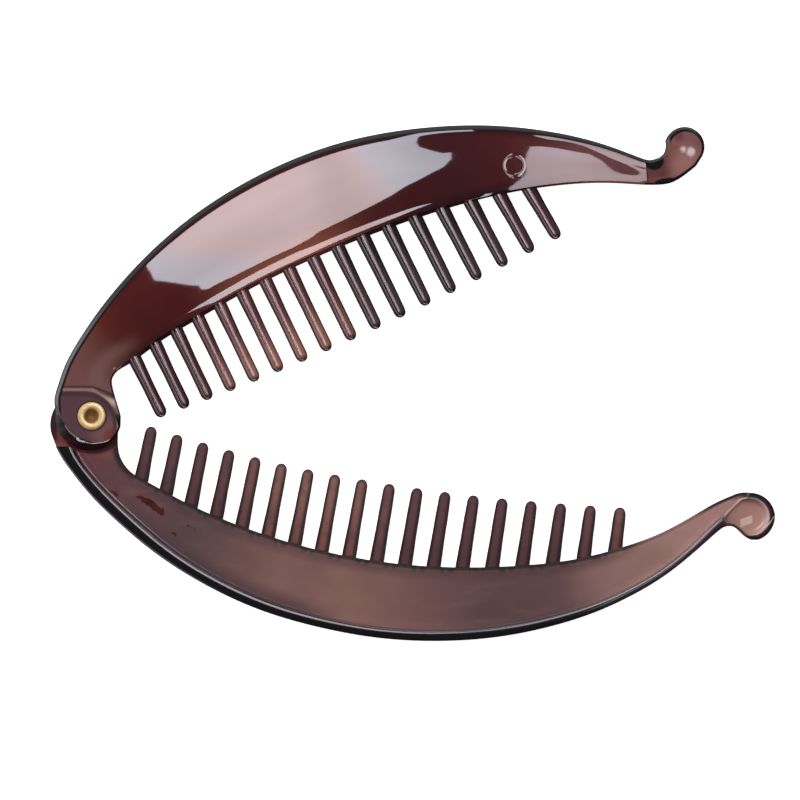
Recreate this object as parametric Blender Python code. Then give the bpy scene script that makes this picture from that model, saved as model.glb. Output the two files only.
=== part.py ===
"""Banana hair clip, laid open on a table: two curved comb arms that turn on one hollow rivet.

The upper arm lies with its glossy crowned front up, the lower arm with its flat back up.
Each arm is one moulding: a plate with a deep rim along its outer edge, a row of teeth along
its inner edge, a half-thick lug at the rivet and a round hook at the tail.
"""

import math

import bmesh
import bpy
import numpy as np

MM = 0.001

# Where the rivet's axis stands in the world, and the height of the plane where the lugs meet
PIVOT_X = -65.7 * MM
PIVOT_Y = -6.8 * MM
HALF_THICK = 2.5 * MM

# Levels of an arm, measured from the plane where the lugs meet towards that arm's front
BACK = -0.45 * MM
RIM_END = -2.50 * MM
LUG_BACK = 0.15 * MM
LUG_FACE = 1.75 * MM
SIDE_TOP = 0.10 * MM
FACE_OUTER = 1.85 * MM
FACE_INNER = 1.68 * MM
HOOK_FACE = 1.35 * MM
UPPER_CROWN = 0.036
LOWER_CROWN = 0.046
HOOK_CROWN = 0.30 * MM

# Widths across an arm
OUTER_BAND = 1.75 * MM
RIM_WIDTH = 1.60 * MM
RIM_FILLET = 0.45 * MM
FILLET_RISE = 0.30 * MM
EDGE_BREAK = 0.25 * MM
FULL_PROFILE_WIDTH = 4.60 * MM

# The front's inner edge: distance in from the edge in millimetres, share of the side's height.
# The lip runs along the teeth, the soft edge round the lug and the hook.
LIP_EDGE = ((1.55, 1.00), (0.95, 0.97), (0.45, 0.63), (0.00, 0.00))
SOFT_EDGE = ((1.15, 1.00), (0.71, 0.92), (0.25, 0.60), (0.00, 0.00))
BAND_SHARES = (0.0, 0.06, 0.22, 0.55, 1.0)
BAND_TURN = 0.93
FACE_STEPS = 6

# Sections of each arm in millimetres from the rivet: outer x, outer y, inner x, inner y.
# The first rows join the lug's round end and the last rows the hook's round end.
UPPER_SECTIONS = (
    (-7.6, 1.5, 5.9, -0.1),
    (-7.7, 3.6, 5.3, 2.1),
    (-7.1, 6.0, 4.1, 6.4),
    (-6.1, 9.0, 4.5, 8.4),
    (-4.2, 13.1, 5.7, 9.6),
    (0.7, 20.7, 9.0, 11.6),
    (6.8, 28.3, 14.6, 15.7),
    (13.9, 35.5, 22.2, 20.2),
    (23.2, 42.9, 31.4, 25.5),
    (35.5, 50.1, 42.7, 31.1),
    (49.9, 55.8, 55.4, 36.5),
    (65.3, 58.9, 68.4, 41.2),
    (80.7, 59.7, 81.7, 45.0),
    (94.1, 58.4, 94.1, 47.2),
    (104.4, 56.0, 104.4, 47.9),
    (111.9, 53.3, 111.9, 47.6),
    (114.6, 52.6, 115.4, 47.5),
    (116.6, 53.2, 118.5, 47.8),
    (117.7, 54.5, 121.3, 49.2),
    (117.9, 56.1, 124.1, 51.4),
)
LOWER_SECTIONS = (
    (-8.5, -3.3, 5.2, -5.1),
    (-7.4, -6.3, 5.5, -7.8),
    (-6.0, -8.9, 6.7, -10.2),
    (-3.6, -12.2, 8.6, -12.0),
    (0.5, -17.1, 12.0, -13.9),
    (6.7, -23.0, 17.5, -16.9),
    (13.9, -28.8, 24.2, -20.1),
    (23.2, -34.6, 32.4, -23.3),
    (34.5, -39.8, 42.1, -26.4),
    (46.8, -43.4, 53.0, -28.9),
    (60.2, -45.7, 64.3, -30.5),
    (74.6, -46.1, 75.6, -31.1),
    (87.9, -44.6, 86.9, -30.8),
    (100.2, -41.4, 98.2, -29.6),
    (109.5, -37.5, 107.8, -27.3),
    (118.1, -32.4, 116.1, -24.4),
    (125.3, -26.5, 122.8, -20.9),
    (128.1, -24.0, 126.5, -18.7),
    (129.6, -22.9, 129.0, -17.4),
    (130.9, -22.6, 131.3, -16.4),
    (132.3, -23.1, 132.6, -15.9),
    (133.9, -24.6, 133.8, -15.7),
    (135.3, -25.4, 134.8, -15.7),
)
# Row numbers between which the lug's flat face turns into the crowned one, and where the hook starts
UPPER_LUG_BLEND = (2.0, 5.5)
LOWER_LUG_BLEND = (1.0, 4.5)
UPPER_HOOK_AT = 15.5
LOWER_HOOK_AT = 16.5
HOOK_CREASE = 0.5
STEPS_PER_ROW = 2

# Round ends: centre x, centre y, radius, where the outer and the inner edge join them, where they meet
UPPER_LUG_END = (-0.7, -0.2, 6.8, 176.0, -16.0, -95.0)
UPPER_HOOK_END = (121.7, 55.3, 4.1, 163.0, -36.0, 65.0)
LOWER_LUG_END = (-1.6, -1.8, 7.05, 184.0, -14.0, 85.0)
LOWER_HOOK_END = (135.2, -20.7, 4.95, -72.0, 84.0, 3.0)
ROUND_END_STEPS = 9

# Teeth: root x, root y, tip x, tip y in millimetres, at five places spread evenly along the row
UPPER_TEETH = 17
UPPER_TOOTH_ROWS = (
    (8.7, 11.8, 14.5, 0.0),
    (26.2, 22.8, 33.6, 7.3),
    (45.5, 32.2, 53.5, 15.8),
    (66.3, 40.7, 74.0, 25.5),
    (89.7, 46.6, 95.6, 36.6),
)
LOWER_TEETH = 18
LOWER_TOOTH_ROWS = (
    (10.0, -12.9, 12.2, -2.2),
    (32.0, -23.2, 34.9, -8.8),
    (55.5, -29.4, 58.3, -13.5),
    (80.5, -31.4, 82.8, -16.8),
    (107.3, -28.2, 108.5, -18.8),
)
TOOTH_BACK = 0.15 * MM
TOOTH_THICK = 1.25 * MM
TOOTH_IN_PLATE = 1.30 * MM
UPPER_TOOTH_WIDTHS = (2.85, 2.45, 2.46)
LOWER_TOOTH_WIDTHS = (2.85, 2.42, 2.24)

# Steps that let each lug pass under or over the other, in millimetres from the rivet
UPPER_STEP = ((-14.0, 6.1), (-0.2, 6.1), (4.3, 4.9), (9.0, 4.1), (9.0, -14.0), (-14.0, -14.0))
LOWER_STEP_RADIUS = 7.85 * MM
LOWER_STEP_FROM_DEG = -12.0
LOWER_STEP_TO_DEG = -127.5
LOWER_STEP_REST = ((-14.0, -6.3), (-14.0, 9.0), (12.0, 9.0), (12.0, -1.6))

# Drop-shaped pockets behind the hooks: centre x, centre y, radius, tip x, tip y in millimetres
UPPER_POCKET = (121.8, 55.2, 2.7, 118.6, 51.4)
LOWER_POCKET = (135.5, -20.4, 3.6, 130.5, -20.0)
POCKET_FLOOR = -0.05 * MM

# Shallow ring left by the mould's pin on the upper arm's front: centre x, centre y, radius in millimetres
RING_MARK = (86.9, 51.2, 2.2)
RING_MARK_WIDTH = 0.30 * MM
RING_MARK_FLOOR = 2.12 * MM

# Hollow rivet
BORE_RADIUS = 2.25 * MM
SHANK_RADIUS = 1.95 * MM
FLANGE_RADIUS = 2.88 * MM
HOLE_RADIUS = 1.53 * MM
FLANGE_SEAT = 2.00 * MM
FLANGE_TOP = 2.48 * MM
HOLE_FLOOR = -0.60 * MM
RIVET_SEGMENTS = 32
CUTTER_SEGMENTS = 40
POCKET_SEGMENTS = 28


def clear_scene():
    for obj in list(bpy.data.objects):
        bpy.data.objects.remove(obj, do_unlink=True)
    for mesh in list(bpy.data.meshes):
        bpy.data.meshes.remove(mesh)


def plastic(name, colour, roughness):
    material = bpy.data.materials.new(name)
    material.use_nodes = True
    shader = material.node_tree.nodes["Principled BSDF"]
    shader.inputs["Base Color"].default_value = (*colour, 1.0)
    shader.inputs["Roughness"].default_value = roughness
    return material


def brass(name):
    material = plastic(name, (0.80, 0.58, 0.27), 0.28)
    material.node_tree.nodes["Principled BSDF"].inputs["Metallic"].default_value = 1.0
    return material


def smoothstep(value, start, end):
    t = min(1.0, max(0.0, (value - start) / (end - start)))
    return t * t * (3.0 - 2.0 * t)


def spline(rows, places):
    """Natural cubic spline through evenly spaced rows, read at the given row numbers."""
    rows = np.asarray(rows, float)
    count = len(rows)
    matrix = np.eye(count)
    right = np.zeros_like(rows)
    for i in range(1, count - 1):
        matrix[i, i - 1 : i + 2] = (1.0, 4.0, 1.0)
        right[i] = 6.0 * (rows[i - 1] - 2.0 * rows[i] + rows[i + 1])
    bend = np.linalg.solve(matrix, right)
    result = []
    for place in places:
        i = min(int(place), count - 2)
        b = place - i
        a = 1.0 - b
        curve = (a**3 - a) * bend[i] + (b**3 - b) * bend[i + 1]
        result.append(a * rows[i] + b * rows[i + 1] + curve / 6.0)
    return np.array(result)


def end_stations(end, towards_end):
    """Chords across a round end, each with the circle that the end follows."""
    x, y, radius, outer_deg, inner_deg, meet_deg = end
    centre = np.array((x, y)) * MM
    radius *= MM
    meet_outer = meet_deg + (360.0 if outer_deg - meet_deg > 180.0 else 0.0)
    stations = []
    for i in range(ROUND_END_STEPS):
        share = 0.95 * i / (ROUND_END_STEPS - 1)
        ends = []
        for start, stop in ((outer_deg, meet_outer), (inner_deg, meet_deg)):
            angle = math.radians(start + (stop - start) * share)
            ends.append(centre + radius * np.array((math.cos(angle), math.sin(angle))))
        stations.append((ends[0], ends[1], (centre, radius)))
    return stations if towards_end else stations[::-1]


def quarter_round(share):
    """Rise of a rounded edge from 0 at its side to 1 on the face."""
    share = min(1.0, max(0.0, share))
    return math.sqrt(1.0 - (1.0 - share) ** 2)


def front_profile(width, lug, hook, crown_per_width):
    """Front of a section: (distance in from the outer edge, height), outer edge first."""
    squeeze = min(1.0, width / FULL_PROFILE_WIDTH)
    flat = max(lug, hook)
    outer_z = FACE_OUTER + (LUG_FACE - FACE_OUTER) * lug + (HOOK_FACE - FACE_OUTER) * hook
    inner_z = FACE_INNER + (LUG_FACE - FACE_INNER) * lug + (HOOK_FACE - FACE_INNER) * hook
    crown = crown_per_width * width * (1.0 - flat) + HOOK_CROWN * hook * squeeze
    profile = []
    for share in BAND_SHARES:
        rise = quarter_round(BAND_TURN * share) / quarter_round(BAND_TURN)
        profile.append((OUTER_BAND * squeeze * share, SIDE_TOP + (outer_z - SIDE_TOP) * rise))
    inner_side = []
    for (lip_in, lip_share), (soft_in, soft_share) in zip(LIP_EDGE, SOFT_EDGE):
        depth = (lip_in + (soft_in - lip_in) * flat) * MM * squeeze
        share = lip_share + (soft_share - lip_share) * flat
        inner_side.append((width - depth, SIDE_TOP + (inner_z - SIDE_TOP) * share))
    start = profile[-1]
    stop = inner_side[0]
    for i in range(1, FACE_STEPS):
        t = i / FACE_STEPS
        bulge = 4.0 * t * (1.0 - t) * crown
        profile.append((start[0] + (stop[0] - start[0]) * t, start[1] + (stop[1] - start[1]) * t + bulge))
    return profile + inner_side


def back_profile(width, full):
    """Back of a section, inner edge first. Full is 1 where the back is filled up to the rim's end."""
    squeeze = min(1.0, width / FULL_PROFILE_WIDTH)
    floor = BACK + (RIM_END - BACK) * full
    rim = RIM_WIDTH * squeeze
    cut = EDGE_BREAK * squeeze
    fillet = RIM_FILLET * squeeze
    return [
        (width, floor + cut),
        (width - cut, floor),
        (rim + fillet, floor),
        (rim + 0.15 * fillet, min(floor, BACK - FILLET_RISE)),
        (rim, min(floor, RIM_END + cut)),
        (rim - cut, RIM_END),
        (cut, RIM_END),
        (0.0, RIM_END + cut),
    ]


def section(outer, inner, lug, hook, full, crown_per_width, circle=None):
    """One closed section of an arm as points in plan and height. A round end's front follows its circle."""
    across = inner - outer
    width = float(np.hypot(*across))
    direction = across / width
    points = []
    for distance, z in front_profile(width, lug, hook, crown_per_width):
        place = outer + direction * distance
        if circle is not None:
            centre, radius = circle
            depth = radius - float(np.hypot(*(place - centre)))
            top = max(z, LUG_FACE * lug + HOOK_FACE * hook)
            z = min(z, SIDE_TOP + (top - SIDE_TOP) * quarter_round(depth / OUTER_BAND))
        points.append((place[0], place[1], z))
    for distance, z in back_profile(width, full):
        place = outer + direction * distance
        points.append((place[0], place[1], z))
    return points


def arm_body(name, sections, ends, lug_blend, hook_at, crown, front_up):
    """The plate, rim, lug and hook of one arm as a closed loft through its sections."""
    lug_end, hook_end = ends
    last = len(sections) - 1.0
    places = [i / STEPS_PER_ROW for i in range(int(last) * STEPS_PER_ROW + 1)]
    rings = []
    for outer, inner, circle in end_stations(lug_end, False):
        rings.append(section(outer, inner, 1.0, 0.0, 0.0, crown, circle))
    for place, edge in zip(places, spline(sections, places) * MM):
        lug = 1.0 - smoothstep(place, *lug_blend)
        hook = min(1.0, max(0.0, (place - hook_at) / HOOK_CREASE))
        full = smoothstep(place, last - 2.0, last)
        rings.append(section(edge[:2], edge[2:], lug, hook, full, crown))
    for outer, inner, circle in end_stations(hook_end, True):
        rings.append(section(outer, inner, 0.0, 1.0, 1.0, crown, circle))
    return loft(name, rings, front_up)


def loft(name, rings, front_up):
    """A closed mesh object through the rings, standing on the rivet's axis."""
    mesh = bpy.data.meshes.new(name)
    form = bmesh.new()
    add_loft(form, rings, front_up)
    bmesh.ops.recalc_face_normals(form, faces=form.faces)
    form.to_mesh(mesh)
    form.free()
    return stand_at_pivot(name, mesh)


def add_loft(form, rings, front_up):
    side = 1.0 if front_up else -1.0
    made = [[form.verts.new((x, y, z * side)) for x, y, z in ring] for ring in rings]
    size = len(made[0])
    for one, two in zip(made, made[1:]):
        for i in range(size):
            j = (i + 1) % size
            form.faces.new((one[i], one[j], two[j], two[i]))
    form.faces.new(made[0])
    form.faces.new(made[-1])


def stand_at_pivot(name, mesh):
    obj = bpy.data.objects.new(name, mesh)
    obj.location = (PIVOT_X, PIVOT_Y, HALF_THICK)
    bpy.context.scene.collection.objects.link(obj)
    return obj


def tooth_rings(root, tip, widths):
    """Sections of one tooth: flat behind, half round in front, with a rounded tip."""
    along = tip - root
    length = float(np.hypot(*along))
    along = along / length
    across = np.array((-along[1], along[0]))
    root_width, mid_width, end_width = (value * MM for value in widths)
    round_from = length - 0.55 * end_width
    stages = (
        (-TOOTH_IN_PLATE, root_width, 1.0),
        (0.35 * length, 0.5 * (root_width + mid_width), 1.0),
        (0.70 * length, mid_width, 1.0),
        (round_from, end_width, 0.94),
        (round_from + 0.26 * end_width, 0.87 * end_width, 0.82),
        (round_from + 0.44 * end_width, 0.60 * end_width, 0.62),
        (length, 0.22 * end_width, 0.34),
    )
    half_round = (
        (-0.44, 0.00),
        (0.44, 0.00),
        (0.50, 0.22),
        (0.42, 0.66),
        (0.20, 0.94),
        (-0.20, 0.94),
        (-0.42, 0.66),
        (-0.50, 0.22),
    )
    rings = []
    for distance, width, height in stages:
        place = root + along * distance
        lift = 0.35 * (1.0 - height) * TOOTH_THICK
        ring = []
        for u, v in half_round:
            point = place + across * u * width
            ring.append((point[0], point[1], TOOTH_BACK + lift + v * height * TOOTH_THICK))
        rings.append(ring)
    return rings


def tooth_row(name, rows, count, widths, front_up):
    """All the teeth of one arm, as a helper that is joined to its plate."""
    places = [4.0 * i / (count - 1) for i in range(count)]
    form = bmesh.new()
    for root_x, root_y, tip_x, tip_y in spline(rows, places) * MM:
        root = np.array((root_x, root_y))
        tip = np.array((tip_x, tip_y))
        add_loft(form, tooth_rings(root, tip, widths), front_up)
    bmesh.ops.recalc_face_normals(form, faces=form.faces)
    mesh = bpy.data.meshes.new(name)
    form.to_mesh(mesh)
    form.free()
    return helper(stand_at_pivot(name, mesh))


def helper(obj):
    obj.hide_render = True
    obj.display_type = "WIRE"
    return obj


def prism(name, outline, low, high):
    """A helper with this outline, between two heights measured from where the lugs meet."""
    form = bmesh.new()
    rings = [[form.verts.new((x, y, z)) for x, y in outline] for z in (low, high)]
    size = len(outline)
    for i in range(size):
        j = (i + 1) % size
        form.faces.new((rings[0][i], rings[0][j], rings[1][j], rings[1][i]))
    form.faces.new(rings[0])
    form.faces.new(rings[1])
    bmesh.ops.recalc_face_normals(form, faces=form.faces)
    mesh = bpy.data.meshes.new(name)
    form.to_mesh(mesh)
    form.free()
    return helper(stand_at_pivot(name, mesh))


def circle_points(x, y, radius, count):
    angles = [2.0 * math.pi * i / count for i in range(count)]
    return [(x + radius * math.cos(a), y + radius * math.sin(a)) for a in angles]


def drop_outline(drop, count):
    """A circle drawn out to a point: the arc between its two tangents, then the tip."""
    x, y, radius, tip_x, tip_y = (value * MM for value in drop)
    towards_tip = math.atan2(tip_y - y, tip_x - x)
    opening = math.acos(radius / math.hypot(tip_x - x, tip_y - y))
    start = towards_tip + opening
    sweep = 2.0 * math.pi - 2.0 * opening
    angles = [start + sweep * i / (count - 1) for i in range(count)]
    return [(x + radius * math.cos(a), y + radius * math.sin(a)) for a in angles] + [(tip_x, tip_y)]


def lathe(name, profile, segments, x=0.0, y=0.0):
    """A closed ring or solid turned about an upright axis. A radius of zero closes it on the axis."""
    form = bmesh.new()
    columns = []
    for radius, z in profile:
        if radius == 0.0:
            columns.append([form.verts.new((x, y, z))] * segments)
            continue
        columns.append([form.verts.new((px, py, z)) for px, py in circle_points(x, y, radius, segments)])
    for i, one in enumerate(columns):
        two = columns[(i + 1) % len(columns)]
        for j in range(segments):
            k = (j + 1) % segments
            corners = []
            for vert in (one[j], one[k], two[k], two[j]):
                if vert not in corners:
                    corners.append(vert)
            if len(corners) > 2:
                form.faces.new(corners)
    bmesh.ops.recalc_face_normals(form, faces=form.faces)
    mesh = bpy.data.meshes.new(name)
    form.to_mesh(mesh)
    form.free()
    return stand_at_pivot(name, mesh)


def combine(obj, other, operation):
    modifier = obj.modifiers.new(other.name, "BOOLEAN")
    modifier.operation = operation
    modifier.solver = "EXACT"
    modifier.object = other


def shade_round(obj, material):
    obj.data.materials.append(material)
    for face in obj.data.polygons:
        face.use_smooth = True


def lower_step_outline():
    """Everything above the lower arm's lug, bounded below by an arc about the rivet."""
    arc = []
    for i in range(25):
        share = i / 24.0
        angle = math.radians(LOWER_STEP_FROM_DEG + (LOWER_STEP_TO_DEG - LOWER_STEP_FROM_DEG) * share)
        arc.append((LOWER_STEP_RADIUS * math.cos(angle), LOWER_STEP_RADIUS * math.sin(angle)))
    return arc + [(x * MM, y * MM) for x, y in LOWER_STEP_REST]


def ring_mark_cut():
    x, y, radius = (value * MM for value in RING_MARK)
    reach = 0.5 * RING_MARK_WIDTH
    profile = (
        (radius - reach, RING_MARK_FLOOR),
        (radius + reach, RING_MARK_FLOOR),
        (radius + reach, 4.0 * MM),
        (radius - reach, 4.0 * MM),
    )
    return helper(lathe("upper_ring_cut", profile, RIVET_SEGMENTS, x, y))


def make_upper_arm(material):
    ends = (UPPER_LUG_END, UPPER_HOOK_END)
    arm = arm_body("upper_arm", UPPER_SECTIONS, ends, UPPER_LUG_BLEND, UPPER_HOOK_AT, UPPER_CROWN, True)
    teeth = tooth_row("upper_teeth_form", UPPER_TOOTH_ROWS, UPPER_TEETH, UPPER_TOOTH_WIDTHS, True)
    combine(arm, teeth, "UNION")
    step = prism("upper_step_cut", [(x * MM, y * MM) for x, y in UPPER_STEP], -6.0 * MM, LUG_BACK)
    combine(arm, step, "DIFFERENCE")
    bore = prism("upper_bore_cut", circle_points(0.0, 0.0, BORE_RADIUS, CUTTER_SEGMENTS), -4.0 * MM, 4.0 * MM)
    combine(arm, bore, "DIFFERENCE")
    pocket = prism("upper_pocket_cut", drop_outline(UPPER_POCKET, POCKET_SEGMENTS), -4.0 * MM, POCKET_FLOOR)
    combine(arm, pocket, "DIFFERENCE")
    combine(arm, ring_mark_cut(), "DIFFERENCE")
    shade_round(arm, material)
    return arm


def make_lower_arm(material):
    ends = (LOWER_LUG_END, LOWER_HOOK_END)
    arm = arm_body("lower_arm", LOWER_SECTIONS, ends, LOWER_LUG_BLEND, LOWER_HOOK_AT, LOWER_CROWN, False)
    teeth = tooth_row("lower_teeth_form", LOWER_TOOTH_ROWS, LOWER_TEETH, LOWER_TOOTH_WIDTHS, False)
    combine(arm, teeth, "UNION")
    step = prism("lower_step_cut", lower_step_outline(), -LUG_BACK, 6.0 * MM)
    combine(arm, step, "DIFFERENCE")
    bore = prism("lower_bore_cut", circle_points(0.0, 0.0, BORE_RADIUS, CUTTER_SEGMENTS), -4.0 * MM, 4.0 * MM)
    combine(arm, bore, "DIFFERENCE")
    pocket = prism("lower_pocket_cut", drop_outline(LOWER_POCKET, POCKET_SEGMENTS), -POCKET_FLOOR, 4.0 * MM)
    combine(arm, pocket, "DIFFERENCE")
    shade_round(arm, material)
    return arm


def make_rivet(material):
    """A semi-tubular rivet: its rolled end up, its closed head under the lower arm's lug."""
    profile = (
        (0.0, HOLE_FLOOR - 0.25 * MM),
        (0.55 * HOLE_RADIUS, HOLE_FLOOR - 0.08 * MM),
        (HOLE_RADIUS, HOLE_FLOOR + 0.10 * MM),
        (HOLE_RADIUS, FLANGE_SEAT - 0.35 * MM),
        (HOLE_RADIUS + 0.12 * MM, FLANGE_TOP - 0.30 * MM),
        (HOLE_RADIUS + 0.38 * MM, FLANGE_TOP - 0.05 * MM),
        (HOLE_RADIUS + 0.72 * MM, FLANGE_TOP),
        (FLANGE_RADIUS - 0.22 * MM, FLANGE_TOP - 0.10 * MM),
        (FLANGE_RADIUS, FLANGE_SEAT + 0.20 * MM),
        (FLANGE_RADIUS - 0.12 * MM, FLANGE_SEAT),
        (SHANK_RADIUS, FLANGE_SEAT),
        (SHANK_RADIUS, -FLANGE_SEAT),
        (FLANGE_RADIUS - 0.08 * MM, -FLANGE_SEAT),
        (FLANGE_RADIUS, -FLANGE_SEAT - 0.12 * MM),
        (FLANGE_RADIUS - 0.20 * MM, -FLANGE_TOP + 0.14 * MM),
        (FLANGE_RADIUS - 0.90 * MM, -FLANGE_TOP),
        (0.0, -FLANGE_TOP),
    )
    rivet = lathe("hinge_rivet", profile, RIVET_SEGMENTS)
    shade_round(rivet, material)
    return rivet


def main():
    clear_scene()
    make_upper_arm(plastic("glossy_brown_plastic", (0.16, 0.045, 0.035), 0.12))
    make_lower_arm(plastic("matt_brown_plastic", (0.20, 0.075, 0.060), 0.38))
    make_rivet(brass("polished_brass"))


main()
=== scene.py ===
"""Looks of a banana hair clip: two glossy brown comb arms on a hollow brass rivet, on a white table.

The arms are built finer than the frame's solids, from the same sections, so that the gloss runs
smoothly, and each carries measures of its own form that the colours are laid on by.
"""

import math

import bmesh
import bpy
import numpy as np
from bpy.props import FloatProperty, FloatVectorProperty, PointerProperty
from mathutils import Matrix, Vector
from mathutils.bvhtree import BVHTree


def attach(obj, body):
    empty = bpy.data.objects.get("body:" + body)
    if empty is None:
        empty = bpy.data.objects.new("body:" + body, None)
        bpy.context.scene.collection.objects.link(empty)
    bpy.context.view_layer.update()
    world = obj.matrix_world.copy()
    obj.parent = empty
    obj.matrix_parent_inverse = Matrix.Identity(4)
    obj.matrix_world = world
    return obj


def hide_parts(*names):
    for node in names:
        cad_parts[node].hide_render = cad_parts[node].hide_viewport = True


bl_info = {
    "name": "Banana Hair Clip",
    "version": (1, 0, 0),
    "blender": (4, 5, 0),
    "location": "View3D > Sidebar > Hair Clip",
    "description": "Builds the two comb arms and the rivet of a banana hair clip, and its studio",
    "category": "Add Mesh",
}

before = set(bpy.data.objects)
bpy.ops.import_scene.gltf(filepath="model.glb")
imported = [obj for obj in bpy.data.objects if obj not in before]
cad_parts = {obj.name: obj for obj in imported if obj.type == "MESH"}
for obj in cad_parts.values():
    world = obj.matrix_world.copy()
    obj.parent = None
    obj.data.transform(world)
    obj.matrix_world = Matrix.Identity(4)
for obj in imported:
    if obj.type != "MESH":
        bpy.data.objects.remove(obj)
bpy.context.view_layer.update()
PRINCIPLED = "ShaderNodeBsdfPrincipled"

MM = 0.001
PIVOT = (-65.7 * MM, -6.8 * MM, 2.5 * MM)

# Levels of an arm from the plane where the lugs meet towards its front, in millimetres
BACK = -0.45
RIM_END = -2.50
LUG_BACK = 0.15
LUG_FACE = 1.75
SIDE_TOP = 0.10
FACE_OUTER = 1.85
FACE_INNER = 1.68
HOOK_FACE = 1.45
# A narrower section has its edges and its rim made smaller in step
FULL_WIDTH = 4.60
# Edges between faces stay sharp above this angle, in degrees
ARM_SMOOTH = 24.0
RIVET_SMOOTH = 45.0

# Sections in millimetres from the rivet: outer x, outer y, inner x, inner y
UPPER_SECTIONS = (
    (-7.6, 1.5, 5.9, -0.1), (-7.7, 3.6, 5.3, 2.1), (-7.1, 6.0, 4.1, 6.4), (-6.1, 9.0, 4.5, 8.4),
    (-4.2, 13.1, 5.7, 9.6), (0.7, 20.7, 9.0, 11.6), (6.8, 28.3, 14.6, 15.7), (13.9, 35.5, 22.2, 20.2),
    (23.2, 42.9, 31.4, 25.5), (35.5, 50.1, 42.7, 31.1), (49.9, 55.8, 55.4, 36.5),
    (65.3, 58.9, 68.4, 41.2), (80.7, 59.7, 81.7, 45.0), (94.1, 58.4, 94.1, 47.2),
    (104.4, 56.0, 104.4, 47.9), (111.9, 53.3, 111.9, 47.6), (114.6, 52.6, 115.4, 47.5),
    (116.6, 53.2, 118.5, 47.8), (117.7, 54.5, 121.3, 49.2), (117.9, 56.1, 124.1, 51.4),
)
LOWER_SECTIONS = (
    (-8.5, -3.3, 5.2, -5.1), (-7.4, -6.3, 5.5, -7.8), (-6.0, -8.9, 6.7, -10.2),
    (-3.6, -12.2, 8.6, -12.0), (0.5, -17.1, 12.0, -13.9), (6.7, -23.0, 17.5, -16.9),
    (13.9, -28.8, 24.2, -20.1), (23.2, -34.6, 32.4, -23.3), (34.5, -39.8, 42.1, -26.4),
    (46.8, -43.4, 53.0, -28.9), (60.2, -45.7, 64.3, -30.5), (74.6, -46.1, 75.6, -31.1),
    (87.9, -44.6, 86.9, -30.8), (100.2, -41.4, 98.2, -29.6), (109.5, -37.5, 107.8, -27.3),
    (118.1, -32.4, 116.1, -24.4), (125.3, -26.5, 122.8, -20.9), (128.1, -24.0, 126.5, -18.7),
    (129.6, -22.9, 129.0, -17.4), (130.9, -22.6, 131.3, -16.4), (132.3, -23.1, 132.6, -15.9),
    (133.9, -24.6, 133.8, -15.7), (135.3, -25.4, 134.8, -15.7),
)
# Round ends: centre x, centre y, radius, where the outer and the inner edge join them, where they meet
UPPER_ENDS = ((-0.7, -0.2, 6.8, 176.0, -16.0, -95.0), (121.7, 55.3, 4.1, 163.0, -36.0, 65.0))
LOWER_ENDS = ((-1.6, -1.8, 7.05, 184.0, -14.0, 85.0), (135.2, -20.7, 4.95, -72.0, 84.0, 3.0))
# Width of the rounded edge round the upper lug, by the direction from the lug's middle
LUG_TURNS = (0.0, 60.0, 120.0, 178.0, 200.0, 231.0, 264.0, 291.0, 307.0, 320.0, 360.0)
LUG_BANDS = (0.35, 0.35, 1.0, 1.0, 1.85, 2.2, 1.95, 1.25, 0.65, 0.40, 0.35)
# The rounded outer edge: shares of the rows between which it narrows to the tail's width, and how much
# narrower it is near the hinge, up to which rows
TAIL_NARROWING = (0.53, 0.79)
HINGE_NARROWING = 0.12
HINGE_ROWS = (3.5, 7.0)
HOOK_CREASE = 0.04
HOOK_SLOPE = 0.014
STEPS_PER_ROW = 10
EDGE_POINTS = 13
FRONT_STEPS = 22
END_STEPS = 34
# The last chord of a round end, as a share of the way to where its edges meet
LAST_CHORD = 0.985
ROUND_SIDES = 72
# An arm with fewer faces than this went wrong when its helpers were joined or cut
FEWEST_FACES = 1000

# The front's inner edge along the teeth: distance in from the edge, share of the side's height
LIP_EDGE = (
    (2.35, 1.000), (2.28, 0.995), (2.12, 0.994), (0.92, 0.992), (0.80, 0.965), (0.72, 0.880),
    (0.67, 0.700), (0.62, 0.560), (0.55, 0.500), (0.45, 0.430), (0.20, 0.250), (0.08, 0.140),
    (0.02, 0.060), (0.00, 0.000),
)
# Plain chamfer of the inner edge where there is no lip: width and height, and how much more the hook's has
CHAMFER = (0.40, 0.48)
HOOK_CHAMFER = (0.20, 0.26)
# Roundings of the back: at the inner edge, and at the rim's foot its width and height
BACK_CUT = 0.28
RIM_FOOT = (0.50, 1.1)
# Width of the rim behind the plate, from row to row, and of the bevel along its inner edge
RIM_ROWS = (0.0, 2.0, 4.3, 6.6, 8.9, 11.0, 13.4, 15.7, 18.0)
RIM_WIDTHS = (3.85, 3.75, 3.20, 2.55, 2.20, 2.15, 1.76, 1.55, 2.30)
RIM_BEVEL = (0.45, 0.13)
# Its tilt at the inner edge and how much it steepens outwards, in degrees
BEVEL_TILT = (6.0, 24.0)
# Tilt of the rounded outer edge where it meets the face and where it meets the side, in degrees
BAND_TILT = (26.0, 50.0)
HOOK_TILT = (42.0, 60.0)
# An edge this narrow is as steep as the hook's, and one that is wider by the second value is not
STEEP_BAND = (0.35, 0.25)

# Teeth: root x, root y, tip x, tip y in millimetres, at five places spread evenly along the row
UPPER_TOOTH_ROWS = (
    (8.75, 11.8, 14.6, -0.15), (26.25, 22.8, 33.7, 7.15), (45.55, 32.2, 53.6, 15.65),
    (66.35, 40.7, 74.1, 25.35), (89.75, 46.6, 95.7, 36.45),
)
LOWER_TOOTH_ROWS = (
    (10.1, -12.9, 12.3, -2.2), (32.1, -23.2, 35.0, -8.8), (55.6, -29.4, 58.4, -13.5),
    (80.6, -31.4, 82.9, -16.8), (107.4, -28.2, 108.6, -18.8),
)
TOOTH_BACK = 0.15
TOOTH_THICK = 1.25
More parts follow.
